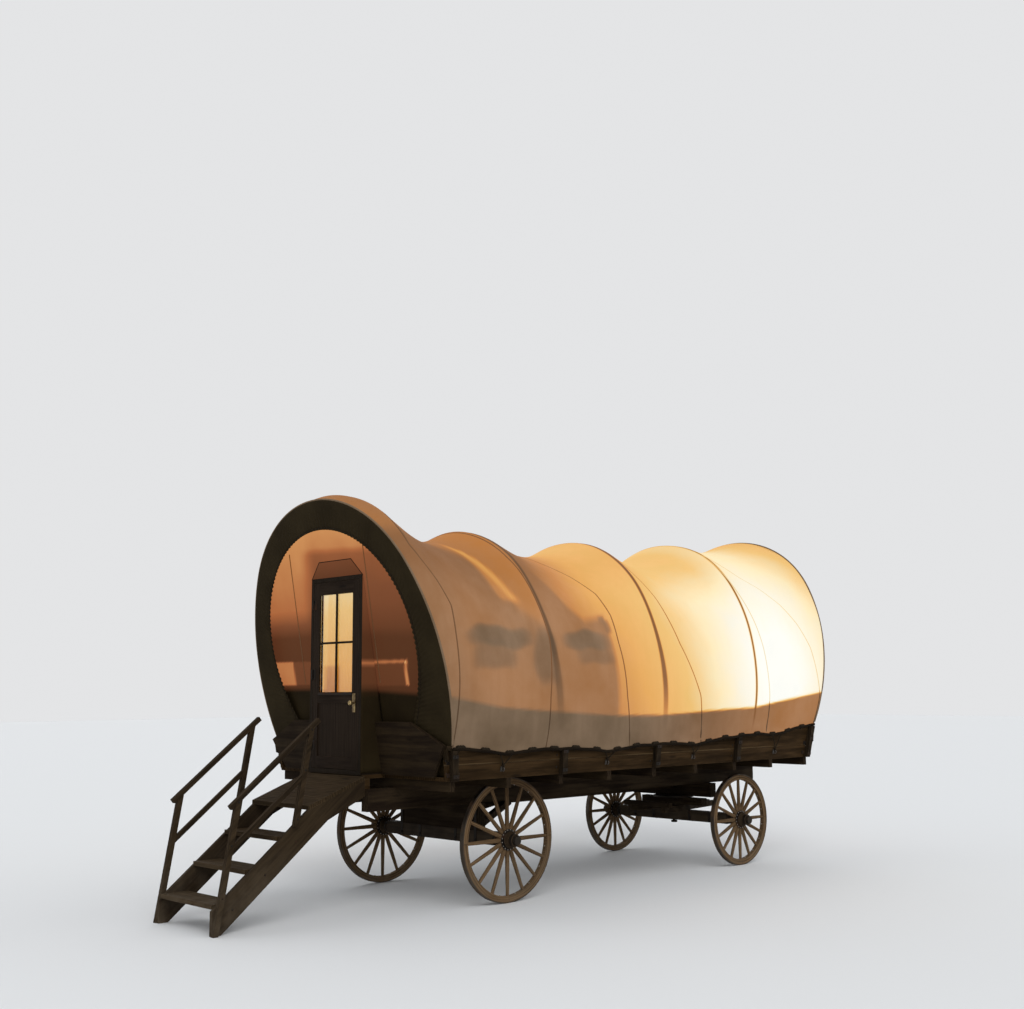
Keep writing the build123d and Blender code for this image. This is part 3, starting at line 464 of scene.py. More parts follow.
def canvas(name, clean, soiled, gloss=0.12, hue=0.5, depth=1.0):
    """Cotton duck with weave, dirty blotches and streaks, and the glow of its points.

    The points' light gives the glow, and their painted shade darkens the cloth's colour.
    """
    material, tree, surface = finish_of(name, 0.88, gloss)
    at = add(tree, "TexCoord").outputs
    weather = group_node(tree, weather_group, Vector=at["Object"], Scale=2.2)
    weave = group_node(tree, weave_group, Vector=at["UV"], Threads=1900.0)
    color = mixed(tree, ranged(tree, weather["Blotch"], 0.38, 0.70), clean, soiled)
    color = mixed(tree, times(tree, ranged(tree, weather["Streak"], 0.45, 0.75), 0.35), color, soiled)
    color = mixed(tree, times(tree, weave["Slub"], 0.16), color, toned(soiled, 0.55))
    # Painted shade: the points' shade attribute darkens the cloth toward its darkest tone
    painted_shading_mask = add(tree, "Attribute", attribute_name="soil").outputs["Fac"]
    color = mixed(tree, painted_shading_mask, color, toned(soiled, 0.30))
    light = add(tree, "Attribute", attribute_name="light").outputs["Fac"]
    light = times(tree, light, ranged(tree, weather["Blotch"], 0.0, 1.0, 0.90, 1.10))
    glow = group_node(tree, glow_group, Light=light)["Color"]
    glow = add(tree, "HueSaturation", {"Color": glow, "Hue": hue, "Saturation": depth}).outputs[0]
    fed(tree, surface, {"Base Color": color, "Emission Color": glow, "Emission Strength": 1.0})
    bumped(tree, surface, weave["Height"], 0.25, 0.0006)
    return material


def thicken(piece, thickness, offset=0.0, even=True):
    """Gives a sheet its thickness, evenly on both sides unless offset says which."""
    wall = piece.modifiers.new("thickness", "SOLIDIFY")
    wall.thickness = thickness
    wall.offset = offset
    wall.use_even_offset = even


canopy_cloth = canvas("canopy_canvas", (0.225, 0.150, 0.092), (0.150, 0.098, 0.056))
# Painted shade in the cloth's own colour: darker along each bow's shadow line, and high in the rear bay
# toward the crown
soil = np.maximum(0.75 * over_bow, 0.5 * ease(2.9, 3.6, at_z) * (1 - ease(1.3, 2.0, at_x)))
canopy = new_piece(
    "canopy", cloth_points, grid_faces(*cloth_x.shape), "box", "canopy", canopy_cloth,
    uv=np.stack((cloth_x, cloth_s), -1), light=canopy_light, soil=soil,
)
thicken(canopy, 0.003)
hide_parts("canvas_cover")

# Seams of the canopy: six lengths' edges lapped and sewn through, so that they let less light
# pass. The cloth is cut on a taper, and so the seams lean over the crown.
SEAM_Z = (1.50, 2.10, 2.70, 3.00, 3.25, 3.45, 3.60, 3.90)
SEAM_X = (  # stations of the six seams at those heights
    (-0.06, -0.08, -0.10, -0.10, -0.21, -0.33, -0.40, -0.42),
    (1.21, 1.23, 1.30, 1.28, 1.26, 1.23, 1.20, 1.18),
    (2.53, 2.43, 2.40, 2.43, 2.39, 2.23, 2.05, 1.75),
    (3.80, 3.72, 3.46, 3.38, 3.32, 3.23, 3.15, 3.13),
    (5.10, 5.10, 5.06, 5.02, 4.98, 4.95, 4.93, 4.92),
    (6.12, 6.20, 6.04, 5.88, 5.69, 5.46, 5.22, 4.92),
)
SEAM_LIGHT = (0.55, 0.55, 0.55, 0.55, 0.76, 0.80)
SEAM_W, SEAM_LIFT = 0.024, np.array((0.0005, 0.0032, 0.0032, 0.0005))


def seam_strip(stations, passes):
    """Lapped seam: a narrow strip on the skin that passes a share of the light.

    Each of its points finds the ridge station whose tipped plane passes through the
    seam's own station at that height.
    """
    across = np.linspace(-SEAM_W / 2, SEAM_W / 2, 4)
    v, across = np.meshgrid(np.linspace(-0.994, 0.994, 200), across, indexing="ij")
    x = stations[0] + across
    for _ in range(14):
        points, s = canopy_surface(x, v)
        station = np.interp(points[:, 1:2, 2], SEAM_Z, stations)
        x = np.clip(x + 0.8 * (station + across - points[..., 0]), ridge_x[0], ridge_x[-1])
    points, s = canopy_surface(x, v, canopy_creases(x, s, np.abs(s[:1])) + SEAM_LIFT)
    over_wall = points[..., 2] - np.interp(points[..., 0], WALL_TOP_X, WALL_TOP_Z)
    return points, s, passes * lamp_light(points) * ease(-0.03, 0.05, over_wall), across


# The seams' tones, darker than the canopy's, are painted shade of the double layer, besides its smaller share
# of light
seam_cloth = canvas("seam_canvas", (0.120, 0.070, 0.038), (0.075, 0.045, 0.026))
points, s, light, across = (np.stack(values) for values in zip(*map(seam_strip, SEAM_X, SEAM_LIGHT)))
quads = grid_faces(*s.shape[1:])[:, ::-1] + s[0].size * np.arange(len(s))[:, None, None]
seams = new_piece(
    "canopy_seams", points, quads.reshape(-1, 4), "box", "canopy", seam_cloth,
    uv=np.stack((across, s), -1), light=light,
)


# Hem of the canopy: the cloth is folded round a rope and sewn down along each side, and the
# fold is given near-black tones as painted shadow along the hem's edge. The tie ropes pull at it.
def tube(path, radius, sides=8):
    """Points and faces of a round section carried along a path, closed to a point at its ends.

    The ring stands square to the path: its first arm is the upward direction made square
    to the path's own, and the second is their cross product.
    """
    path = np.asarray(path, float)
    along = np.gradient(path, axis=0)
    along = along / np.linalg.norm(along, axis=1, keepdims=True)
    arm = (0, 0, 1) - along[:, 2:] * along
    arm = arm / np.linalg.norm(arm, axis=1, keepdims=True)
    radius = np.broadcast_to(radius, len(path))
    radius = np.concatenate(((1e-5,), radius, (1e-5,)))[:, None, None]
    lines = (path, arm, np.cross(along, arm))
    path, arm, other = (np.concatenate((line[:1], line, line[-1:]))[:, None] for line in lines)
    turn = np.arange(sides)[:, None] * 2 * np.pi / sides
    points = path + radius * (np.cos(turn) * arm + np.sin(turn) * other)
    return points.reshape(-1, 3), grid_faces(len(path), sides, False, True)[:, ::-1]


def together(shapes):
    """Several shapes' points and faces as one."""
    points, faces = zip(*shapes)
    starts = np.cumsum([0] + [len(part) for part in points[:-1]])
    return np.concatenate(points), np.concatenate([part + start for part, start in zip(faces, starts)])


def hem_line(side):
    """Line of the canopy's hem on the right (-1) or left (1) side."""
    x = np.linspace(ridge_x[0], ridge_x[-1], 260)
    v = np.full(x.shape, float(side))
    s = canopy_surface(x, v)[1]
    return canopy_surface(x, v, canopy_creases(x, s, np.abs(s)))[0]


# The hem's near-black tones are painted shadow along its edge over the rail
hem_cloth = canvas("hem_painted_shadow", (0.014, 0.009, 0.005), (0.008, 0.005, 0.003), gloss=0.05)
points, faces = together(tube(hem_line(side), 0.016, 10) for side in (-1, 1))
hem = new_piece(
    "canopy_hem", points, faces, "box", "canopy", hem_cloth,
    uv=points[:, [0, 2]], light=np.zeros(len(points)),
)

# Hoods: a ring of the same canvas at each end, sewn to the canopy's edge and gathered on a
# drawstring round the opening, so that its folds fan out from the cord.
HOOD_FOOT_Y, HOOD_LEG, HOOD_SIDE_R, HOOD_RISE, HOOD_FOOT_H = 1.000, 0.915, 1.750, 1.110, 0.235
HOOD_FOLDS = 118
HOOD_ROWS = (0, 0.012, 0.03, 0.07, 0.14, 0.26, 0.4, 0.54, 0.67, 0.78, 0.86, 0.905, 0.93, 0.955, 0.98, 1)
HOOD_SHARE = (0, 0.03, 0.12, 0.50, 0.86, 0.93, 1.00)
HOOD_PUFF = (0.001, 0.006, 0.009, 0.010, 0.009, 0.004, 0.012)
HOOD_FOLD = (0.000, 0.000, 0.0002, 0.0008, 0.0022, 0.0012, 0.0050)
STRING_SHARE, STRING_OUT, STRING_R = 0.93, 0.008, 0.005
LIP_IN, LIP_R = 0.004, 0.011
# Planes at the ends: station of the foot, lean, straight leg of the arch and outward sign
EDGE_PLANE = (EDGE_X, EDGE_LEAN, EDGE_LEG, -1)
REAR_PLANE = (BOW_X[0] - BOW_HALF_W, BOW_LEAN[0], BOW_LEG[0], -1)
FRONT_PLANE = (BOW_X[4] + BOW_HALF_W, BOW_LEAN[4], BOW_LEG[4], 1)


def on_plane(plane, y, z, out=0.0):
    """Points at y, z of a tipped end plane, lifted outward from it by out."""
    foot_x, lean, _, sign = plane
    x = foot_x + z * np.sin(lean) + sign * out * np.cos(lean)
    z = rail_z(foot_x) + z * np.cos(lean) - sign * out * np.sin(lean)
    return np.stack(np.broadcast_arrays(x, y, z), -1)


def hood_line(plane, v, share):
    """Line at a share of the way from the canopy's edge in to the drawstring's arch."""
    y0, z0 = arch_point(v, BOW_FOOT_Y, plane[2], SIDE_R, CROWN_RISE, SKIN_OUT + 0.004)[:2]
    y1, z1 = arch_point(v, HOOD_FOOT_Y, HOOD_LEG, HOOD_SIDE_R, HOOD_RISE, 0, HOOD_FOOT_H)[:2]
    return y0 + share * (y1 - y0), z0 + share * (z1 + HOOD_FOOT_H - z0)


rope_finish, tree, surface = finish_of("old_rope", 0.9, 0.10)
strand = {"Vector": add(tree, "TexCoord").outputs["Object"], "Scale": 60.0, "Distortion": 2.0}
strand = add(tree, "TexWave", strand, bands_direction="DIAGONAL").outputs["Fac"]
fed(tree, surface, {"Base Color": mixed(tree, strand, (0.024, 0.016, 0.009), (0.009, 0.006, 0.003))})
bumped(tree, surface, strand, 0.5, 0.002)
# The hoods' canvas is the canopy's cloth given near-black tones: painted shade, for rings that stand in
# shadow with no glow through them
hood_cloth = canvas("hood_canvas", (0.030, 0.021, 0.009), (0.018, 0.012, 0.005), gloss=0.06)


def hood(name, plane, node):
    """Gathered ring: puffed across its width, with a cosine fold that fades to the edge."""
    v, share = np.meshgrid(np.linspace(-1, 1, HOOD_FOLDS * 8 + 1), HOOD_ROWS, indexing="ij")
    wander = 0.9 * np.sin(9 * v + 1) + 0.6 * np.sin(23 * v) + 0.8 * share * np.sin(5 * v)
    fold = np.cos(np.pi * HOOD_FOLDS * v + wander) * (1 + 0.4 * np.sin(31 * v + 2))
    out = np.interp(share, HOOD_SHARE, HOOD_PUFF) + np.interp(share, HOOD_SHARE, HOOD_FOLD) * fold
    points = on_plane(plane, *hood_line(plane, v, share), out)
    piece = new_piece(
        name, points, grid_faces(*v.shape)[:, :: plane[3]], "box", "canopy", hood_cloth,
        uv=np.stack((v * 3.4, share * 0.5), -1), light=np.zeros(v.shape),
    )
    thicken(piece, 0.002, -1.0, even=False)
    v = np.linspace(-0.999, 0.999, 400)
    string = tube(on_plane(plane, *hood_line(plane, v, STRING_SHARE), STRING_OUT), STRING_R)
    string = new_piece(name + "_drawstring", *string, "box", "canopy", rope_finish)
    points, faces = tube(on_plane(plane, *hood_line(plane, v, 0.0), -LIP_IN), LIP_R, 10)
    lip = new_piece(
        name + "_lip", points, faces, "box", "canopy", canopy_cloth,
        uv=points[:, [1, 2]], light=np.zeros(len(points)),
    )
    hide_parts(node)
    return piece, string, lip


for end, plane in (("rear", EDGE_PLANE), ("front", FRONT_PLANE)):
    ring, string, lip = hood(end + "_hood_ring", plane, end + "_hood")

# End walls: canvas laced inside the end bows and down to the floor, the rear one cut round
# the door's frame, with two sewn seams and a flap of canvas over the frame's head.
DOOR_HALF, FRAME_TOP, FLOOR_TOP = 0.4463, 3.3613, 1.3364
RAIL_IN_Y = BOW_FOOT_Y + 0.019 - 0.0783
ARCH_SHARE, WALL_IN, WALL_FOOT_IN = 0.90, 0.0195, 0.075
WALL_PATCHES = (  # right and left edge, low and high edge, softness, added light
    (-0.97, -0.40, 2.23, 2.46, 0.012, 0.045),
    (-0.97, -0.40, 2.455, 2.480, 0.008, 0.210),
    (-0.97, -0.925, 2.23, 2.46, 0.010, 0.220),
    (0.50, 1.02, 2.25, 2.49, 0.012, 0.060),
    (1.02, 1.50, 2.25, 2.49, 0.020, 0.235),
)
WALL_SEAM_Y = (-0.505, 0.82)
WALL_SEAM = np.array(((0, -0.008, 0), (-0.002, -0.0064, 0), (-0.002, 0.0064, 0), (0, 0.008, 0)))


def up_plane(plane, z):
    """How far up a tipped end plane a height lies."""
    return (z - rail_z(plane[0])) / np.cos(plane[1])


def outer_line(plane, v):
    """Outline of an end wall: inside the bow's arch, in at its foot and down to the floor."""
    y, z = arch_point(np.clip(v / ARCH_SHARE, -1, 1), BOW_FOOT_Y, plane[2], SIDE_R, CROWN_RISE, -WALL_IN)[:2]
    foot = np.clip((np.abs(v) - ARCH_SHARE) / (1 - ARCH_SHARE), 0, 1)
    y_in = np.interp(foot, (0, 0.08, 1), (1, 0, 0))
    down = np.interp(foot, (0, 0.08, 1), (0, 0, 1))
    foot_y = RAIL_IN_Y + y_in * (np.abs(y) - RAIL_IN_Y) - WALL_FOOT_IN * down
    y = np.where(foot > 0, np.where(v < 0, -1, 1) * foot_y, y)
    return y, np.where(foot > 0, down * up_plane(plane, FLOOR_TOP), z)


def door_line(v):
    """Outline about the door's frame: up one side, across the head, down the other."""
    low, head = up_plane(REAR_PLANE, FLOOR_TOP), up_plane(REAR_PLANE, FRAME_TOP)
    corner = (head - low) / (head - low + DOOR_HALF)
    side = np.clip((1 - np.abs(v)) / corner, 0, 1)
    across = np.clip((1 - np.abs(v) - corner) / (1 - corner), 0, 1)
    return np.where(v < 0, -1, 1) * DOOR_HALF * (1 - across), low + side * (head - low)


def hung(plane, y, z, held):
    """Slow waves of hung canvas: sums of sines in y and z, faded to 0 where held is 0."""
    out = 0.003 * held * (np.sin(7 * y + 3 * z) + 0.6 * np.sin(15 * y - 2 * z + 1)) - 0.004
    return on_plane(plane, y, z, out)


def patch(y, z, y0, y1, z0, z1, soft):
    """1 inside a rectangle of the wall, fading to 0 over soft."""
    inside = ease(y0 - soft, y0, y) * (1 - ease(y1, y1 + soft, y))
    return inside * ease(z0 - soft, z0, z) * (1 - ease(z1, z1 + soft, z))


def wall_light(points):
    """Light on the rear wall: dim over the boards' shade, warm toward the crown."""
    y, z = points[..., 1], points[..., 2]
    on_right = np.interp(
        z - 0.05 * y,
        (2.17, 2.22, 2.50, 2.75, 2.85, 3.10, 3.45, 3.60, 3.68, 3.90),
        (0.0, 0.09, 0.10, 0.105, 0.15, 0.20, 0.24, 0.26, 0.37, 0.42),
    )
    on_left = np.interp(
        z, (2.17, 2.22, 2.75, 2.88, 3.05, 3.30, 3.90), (0.0, 0.10, 0.12, 0.21, 0.32, 0.35, 0.42)
    )
    light = on_right + (on_left - on_right) * ease(0.35, 0.70, y)
    for y0, y1, z0, z1, soft, more in WALL_PATCHES:
        light = light + more * patch(y, z, y0, y1, z0, z1, soft)
    return light


# The end walls' canvas has near-black tones, darker than the canopy's cloth: painted shade of walls under the
# hoods; their glow comes from each point's light
WALL_TONES = (0.024, 0.016, 0.006), (0.016, 0.010, 0.004)
end_canvas_cloth = canvas("end_wall_canvas", *WALL_TONES, gloss=0.06, hue=0.488, depth=0.90)


def wall_canvas(name, points, light, axes, slot="end_canvas", turned_over=True):
    """A sheet of wall canvas from a grid of points, its weave along two of their axes."""
    faces = grid_faces(*points.shape[:2])[:, :: -1 if turned_over else 1]
    return new_piece(name, points, faces, "box", slot, end_canvas_cloth, uv=points[..., axes], light=light)


# The rear wall's rows run from the bow's outline in to the door frame's
v, share = np.meshgrid(np.linspace(-1, 1, 401), np.linspace(0, 1, 41), indexing="ij")
y0, z0 = outer_line(REAR_PLANE, v)
y1, z1 = door_line(v)
points = hung(REAR_PLANE, y0 + share * (y1 - y0), z0 + share * (z1 - z0), np.sin(np.pi * share))
rear_wall = wall_canvas("rear_end_wall", points, wall_light(points), [1, 2])
thicken(rear_wall, 0.003, even=False)
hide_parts("rear_canvas_wall")
# The front wall has no opening: its rows run straight across at each height
v, across = np.meshgrid(np.linspace(0.004, 1, 161), np.linspace(-1, 1, 81), indexing="ij")
y0, z0 = outer_line(FRONT_PLANE, v)
points = hung(FRONT_PLANE, across * y0, z0, 1 - across**2)
light = 0.30 * lamp_light(points) * ease(0, 0.05, points[..., 2] - 2.12)
front_wall = wall_canvas("front_end_wall", points, light, [1, 2])
thicken(front_wall, 0.003, even=False)
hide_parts("front_canvas_wall")
rows = [on_plane(REAR_PLANE, y, np.linspace(0.62, 2.05, 60), 0.001)[:, None] + WALL_SEAM for y in WALL_SEAM_Y]
points, faces = together((strip.reshape(-1, 3), grid_faces(60, 4)[:, ::-1]) for strip in rows)
wall_seams = new_piece(
    "end_wall_seams", points, faces, "box", "end_canvas", seam_cloth,
    uv=points[:, 1:], light=0.4 * wall_light(points),
)

# Door cheeks: the frame stands upright and the wall leans, so a wedge of the wall's canvas is
# drawn back from each side of the frame and sewn to the wall, lit like it.
CHEEK_X, CHEEK_LOW, CHEEK_TOP = -0.378, FLOOR_TOP + 0.020, FRAME_TOP - 0.004
up, share = np.meshgrid(np.linspace(0, 1, 41), np.linspace(0, 1, 13), indexing="ij")
cheek_z = CHEEK_LOW + up * (CHEEK_TOP - CHEEK_LOW)
wall_at = REAR_PLANE[0] + (cheek_z - rail_z(REAR_PLANE[0])) * np.tan(REAR_PLANE[1])
cheek_x = CHEEK_X + share * (wall_at - 0.003 - CHEEK_X)
cheek_light = 0.85 * wall_light(np.stack((cheek_x, 0 * cheek_z - 0.4, cheek_z), -1))
for name, side in (("door_cheek_right", -1), ("door_cheek_left", 1)):
    cheek_y = side * (DOOR_HALF + 0.0045 + 0.0015 * np.sin(5 * cheek_z) * np.sin(np.pi * share))
    points = np.stack((cheek_x, cheek_y, cheek_z), -1)
    cheek = wall_canvas(name, points, cheek_light, [0, 2], turned_over=side > 0)
    thicken(cheek, 0.002)

# Flap over the door frame's head: a trapezoid of canvas that keeps rain out of the joint
# between frame and wall, drawn tight, with a thin rope sewn round its edge.
FLAP_H, FLAP_TOP_HALF, FLAP_ROPE_R = 0.175, 0.280, 0.0045
across, up = np.meshgrid(np.linspace(-1, 1, 41), np.linspace(0, 1, 15), indexing="ij")
flap_y = across * (DOOR_HALF + up * (FLAP_TOP_HALF - DOOR_HALF))
flap_out = 0.004 + 0.010 * np.sin(np.pi * up) * (1 - across**2) + 0.001 * np.sin(9 * across)
points = on_plane(REAR_PLANE, flap_y, up_plane(REAR_PLANE, FRAME_TOP) + up * FLAP_H, flap_out)
flap = wall_canvas("door_head_flap", points, 0.13 + 0.05 * up, [1, 2], slot="canopy")
thicken(flap, 0.003)
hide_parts("door_flap")
edges = (points[:, 0], points[:, -1], points[0], points[-1])
rope = together(tube(edge + (-0.001, 0, 0), FLAP_ROPE_R, 6) for edge in edges)
flap_hem = new_piece("flap_hem", *rope, "box", "canopy", rope_finish)

# Tie ropes: at each ring on the box side two short arms of rope come down from eyelets in
# the hem, meet in a knot and are made fast to the ring.
RING_Z, RING_OUT, KNOT_Z, KNOT_OUT = 1.393, 0.018, 1.393 + 0.035, 0.022
ROPE_R, TIE_REACH, KNOT_R, KNOT_HALF = 0.0060, np.array((-0.095, 0.095)), 0.011, 0.010
BOARD_FOOT_Y, BOARD_FOOT_Z, FLARE = 1.420, 1.300, np.radians(8.0)


def box_y(z):
    """Half-width of the box at height z, from the boards' flare."""
    return BOARD_FOOT_Y + (z - BOARD_FOOT_Z) * np.tan(FLARE)


def hem_at(x, side):
    """Points just outside the canopy's hem at stations x, on the right (-1) or left (1) side."""
    return canopy_surface(x, np.full(x.shape, 0.998 * side), 0.006)[0]


share = np.linspace(0, 1, 12)[:, None]
turn = np.linspace(0, 4 * np.pi, 40)
coil = (KNOT_R * np.cos(turn), KNOT_R * np.sin(turn), KNOT_HALF * (turn / (2 * np.pi) - 1))
coil = np.stack(coil, -1)
ropes = []
for side in (-1, 1):
    for tie in TIE_X:
        ring_at = np.array((tie, side * (box_y(RING_Z) + RING_OUT), RING_Z - 0.012))
        knot = np.array((tie, side * (box_y(KNOT_Z) + KNOT_OUT), KNOT_Z))
        for start in hem_at(tie + TIE_REACH, side):
            bowed = (0, side * 0.004, 0) * np.sin(np.pi * share)
            ropes.append(tube(start + share * (knot - start) + bowed, ROPE_R, 6))
        ropes.append(tube(knot + coil * (1, side, 1), ROPE_R, 6))
        ropes.append(tube(np.linspace(knot, ring_at, 6), ROPE_R, 6))
new_piece("tie_ropes", *together(ropes), "box", "canopy", rope_finish)

# Lashings along the hem: short thick turns of rope that hold the hem to pegs under the rail,
# one about every 0.33 m on both sides.
LASHING_X, LASHING_HALF = np.arange(0.03, 6.15, 0.325), 0.062
LASHING_R = (0.006, 0.015, 0.018, 0.014, 0.019, 0.014, 0.018, 0.015, 0.006)
PEG_Y, PEG_BELOW_RAIL, PEG_CORD_R = 1.476, 0.062, 0.004
lashings = []
for side in (-1, 1):
    for x in LASHING_X:
        along = hem_at(np.linspace(x - LASHING_HALF, x + LASHING_HALF, 9), side)
        peg = (x, side * PEG_Y, rail_z(x) - PEG_BELOW_RAIL)
        lashings.append(tube(along + (0, 0, 0.013), LASHING_R, 8))
        lashings.append(tube(np.linspace(along[4], peg, 3), PEG_CORD_R, 5))
new_piece("hem_lashings", *together(lashings), "box", "canopy", rope_finish)

# Timber: old boards of the box, greyed and stained, with long grain lines, checks and a few
# knots. Edges are rubbed paler and the lowest parts carry road dust.
timber_group, given, out = shader_group("timber_grain", {"Vector": None}, ("Grain", "Height", "Knots"))
tree, at = timber_group, given["Vector"]
figure = noise(tree, mapped(tree, at, Scale=(0.9, 15.0, 15.0)), 2.6, 7.0, Roughness=0.62)
rings = {"Scale": 2.2, "Distortion": 6.0, "Detail": 3.0, "Detail Scale": 1.2}
rings["Vector"] = mapped(tree, at, Scale=(0.5, 5.0, 5.0))
rings = add(tree, "TexWave", rings, bands_direction="Y").outputs["Fac"]
blend = maths(tree, "MULTIPLY_ADD", figure, 0.9, times(tree, rings, 0.35))
fibre = noise(tree, mapped(tree, at, Scale=(3.0, 130.0, 130.0)), 3.0, 3.0)
cells = add(tree, "TexVoronoi", {"Vector": mapped(tree, at, Scale=(1.4, 6.0, 6.0)), "Scale": 1.0})
knots = ranged(tree, cells.outputs["Distance"], 0.05, 0.13, 1.0, 0.0)
height = maths(tree, "MULTIPLY_ADD", fibre, 0.6, blend)
fed(tree, out, {"Grain": ranged(tree, blend, 0.38, 0.90), "Height": height, "Knots": knots})

# Edge wear: how far the rounded normal turns from the flat one, which is only at corners
edge_group, given, out = shader_group("edge_wear", {"Vector": None, "Width": 0.005}, ("Mask",))
tree = edge_group
flat = add(tree, "NewGeometry").outputs["Normal"]
round_off = add(tree, "Bevel", {"Radius": given["Width"]}, samples=4).outputs[0]
agree = add(tree, "VectorMath", {0: flat, 1: round_off}, operation="DOT_PRODUCT").outputs["Value"]
patchy = ranged(tree, noise(tree, given["Vector"], 9.0, 4.0), 0.35, 0.65)
fed(tree, out, {"Mask": times(tree, ranged(tree, agree, 0.97, 0.80), patchy)})

# Road dust: lies thickest near the ground and in blotches
dust_group, given, out = shader_group("road_dust", {"Vector": None, "Top": 0.5}, ("Mask",))
tree = dust_group
height = add(tree, "SeparateXYZ", {0: given["Vector"]}).outputs["Z"]
cloud = ranged(tree, noise(tree, given["Vector"], 5.0, 6.0), 0.30, 0.70)
fed(tree, out, {"Mask": times(tree, ranged(tree, height, given["Top"], 0.0), cloud)})

DUST = (0.130, 0.100, 0.068)
TURN_X, TURN_Y, TURN_Z = (0, 0, 0), (0, 0, np.pi / 2), (0, np.pi / 2, 0)


def dusted(tree, at, color, top, share):
    """A colour with road dust over it, up to a height."""
    dust = group_node(tree, dust_group, Vector=at, Top=top)["Mask"]
    return mixed(tree, times(tree, dust, share), color, DUST)


def timber(name, pale, dark, turn=TURN_X, worn=None, rough=0.80, bump=0.6, grain=None, line=None):
    """Wood whose grain runs along the turned x axis, between a dark and a pale tone.

    A line is a height where a pale band is painted as highlight on the ledge between two boards.
    """
    material, tree, surface = finish_of(name, gloss=0.06)
    at = add(tree, "TexCoord").outputs["Object"]
    if grain:
        grain = grain(tree, at)
    else:
        grain = group_node(tree, timber_group, Vector=mapped(tree, at, Rotation=turn))
    blotch = group_node(tree, weather_group, Vector=at, Scale=1.6)["Blotch"]
    color = mixed(tree, grain["Grain"], dark, pale)
    color = mixed(tree, times(tree, ranged(tree, blotch, 0.42, 0.72), 0.45), color, toned(dark, 0.55))
    color = mixed(tree, times(tree, grain["Knots"], 0.7), color, toned(dark, 0.25))
    edges = group_node(tree, edge_group, Vector=at, Width=0.006)["Mask"]
    color = mixed(tree, times(tree, edges, 0.65), color, worn or toned(pale, 1.7))
    # Painted highlight: a patchy pale band at the line's height, where light catches the ledge between two
    # boards
    if line:
        height = add(tree, "SeparateXYZ", {0: at}).outputs["Z"]
        near = maths(tree, "COMPARE", height, line, 0.005)
        painted_shading_mask = times(tree, ranged(tree, blotch, 0.30, 0.60), 0.45)
        color = mixed(tree, times(tree, near, painted_shading_mask), color, worn)
    color = dusted(tree, at, color, 0.75, 0.55)
    shine = ranged(tree, grain["Grain"], 0.0, 1.0, rough + 0.10, rough - 0.06)
    fed(tree, surface, {"Base Color": color, "Roughness": shine})
    bumped(tree, surface, grain["Height"], bump, 0.0016)
    return material


def dress(material, *names):
    """Gives the frame's nodes their finish."""
    for name in names:
        for slot in nodes[name].material_slots:
            slot.material = material


# Height of the ledge between the two side boards, where a painted highlight runs
BOARD_JOINT_Z = 1.459
board_wood = timber(
    "box_board_wood", (0.050, 0.027, 0.010), (0.017, 0.009, 0.003),
    worn=(0.15, 0.10, 0.050), line=BOARD_JOINT_Z,
)
dress(board_wood, "side_boards_right", "side_boards_left", "floor_boards", "door_step_floor")
BEAM_TONES = (0.034, 0.022, 0.011), (0.012, 0.007, 0.004)
WOODS = (  # finish, pale and dark tone, way of the grain, nodes
    # The rails' near-black tones are painted shade under the canopy's hem
    ("rail_wood", ((0.030, 0.019, 0.009), (0.011, 0.007, 0.003)), TURN_X, ("top_rails",)),
    ("wall_lining_wood", ((0.30, 0.20, 0.11), (0.17, 0.105, 0.055)), TURN_X, ("inner_walls",)),
    ("stake_wood", ((0.028, 0.018, 0.009), (0.011, 0.007, 0.004)), TURN_Z, ("side_stakes",)),
    (
        "end_board_wood", ((0.030, 0.019, 0.009), (0.012, 0.007, 0.004)), TURN_Y,
        ("rear_end_board", "front_end_board", "floor_joists"),
    ),
    ("bow_wood", ((0.26, 0.17, 0.09), (0.14, 0.085, 0.042)), TURN_Z, ("bows",)),
    ("beam_wood", BEAM_TONES, TURN_X, ("floor_beams", "reach_pole", "rear_hounds", "front_hounds")),
    ("cross_timber_wood", BEAM_TONES, TURN_Y, ("rear_bolster", "front_bolster", "sand_bolster", "sway_bar")),
)
for name, tones, turn, dressed in WOODS:
    dress(timber(name, *tones, turn), *dressed)


# Iron: forged and rolled bar for the tyres, plates, hinges and bolts, blackened at the forge,
# with a brown rust bloom in blotches.
def iron(name, black, rust, rusty, rough, dust_top=0.4):
    """Dark iron, metallic where bare and not where the blotches make it rust."""
    material, tree, surface = finish_of(name, gloss=0.20)
    at = add(tree, "TexCoord").outputs["Object"]
    blotch = group_node(tree, weather_group, Vector=at, Scale=7.0)["Blotch"]
    grit = noise(tree, at, 160.0, 4.0)
    bloom = ranged(tree, blotch, 0.72 - 0.35 * rusty, 0.86 - 0.35 * rusty)
    color = mixed(tree, bloom, black, rust)
    color = mixed(tree, times(tree, grit, 0.35), color, toned(rust, 0.5))
    color = dusted(tree, at, color, dust_top, 0.5)
    bare = ranged(tree, bloom, 0.0, 1.0, 0.85, 0.05)
    matte = ranged(tree, bloom, 0.0, 1.0, rough, 0.92)
    fed(tree, surface, {"Base Color": color, "Metallic": bare, "Roughness": matte})
    bumped(tree, surface, grit, 0.35, 0.0008)
    return material


IRON_TONES = (0.024, 0.021, 0.018), (0.036, 0.017, 0.008)
gear_iron = iron("gear_iron", *IRON_TONES, 0.6, 0.62)
dress(gear_iron, "door_hinges", "upper_turning_plate", "lower_turning_plate", "king_pin")
tyre_iron = iron("tyre_iron", (0.055, 0.045, 0.035), (0.060, 0.033, 0.017), 0.75, 0.50, 1.3)
dress(tyre_iron, "tyre_rear_right", "tyre_rear_left", "tyre_front_right", "tyre_front_left")
bright_iron = iron("bolt_iron", (0.34, 0.31, 0.27), (0.16, 0.10, 0.06), 0.3, 0.40, 0.0)
dress(iron("ring_iron", (0.110, 0.100, 0.090), (0.070, 0.036, 0.018), 0.4, 0.5), "tie_rings")

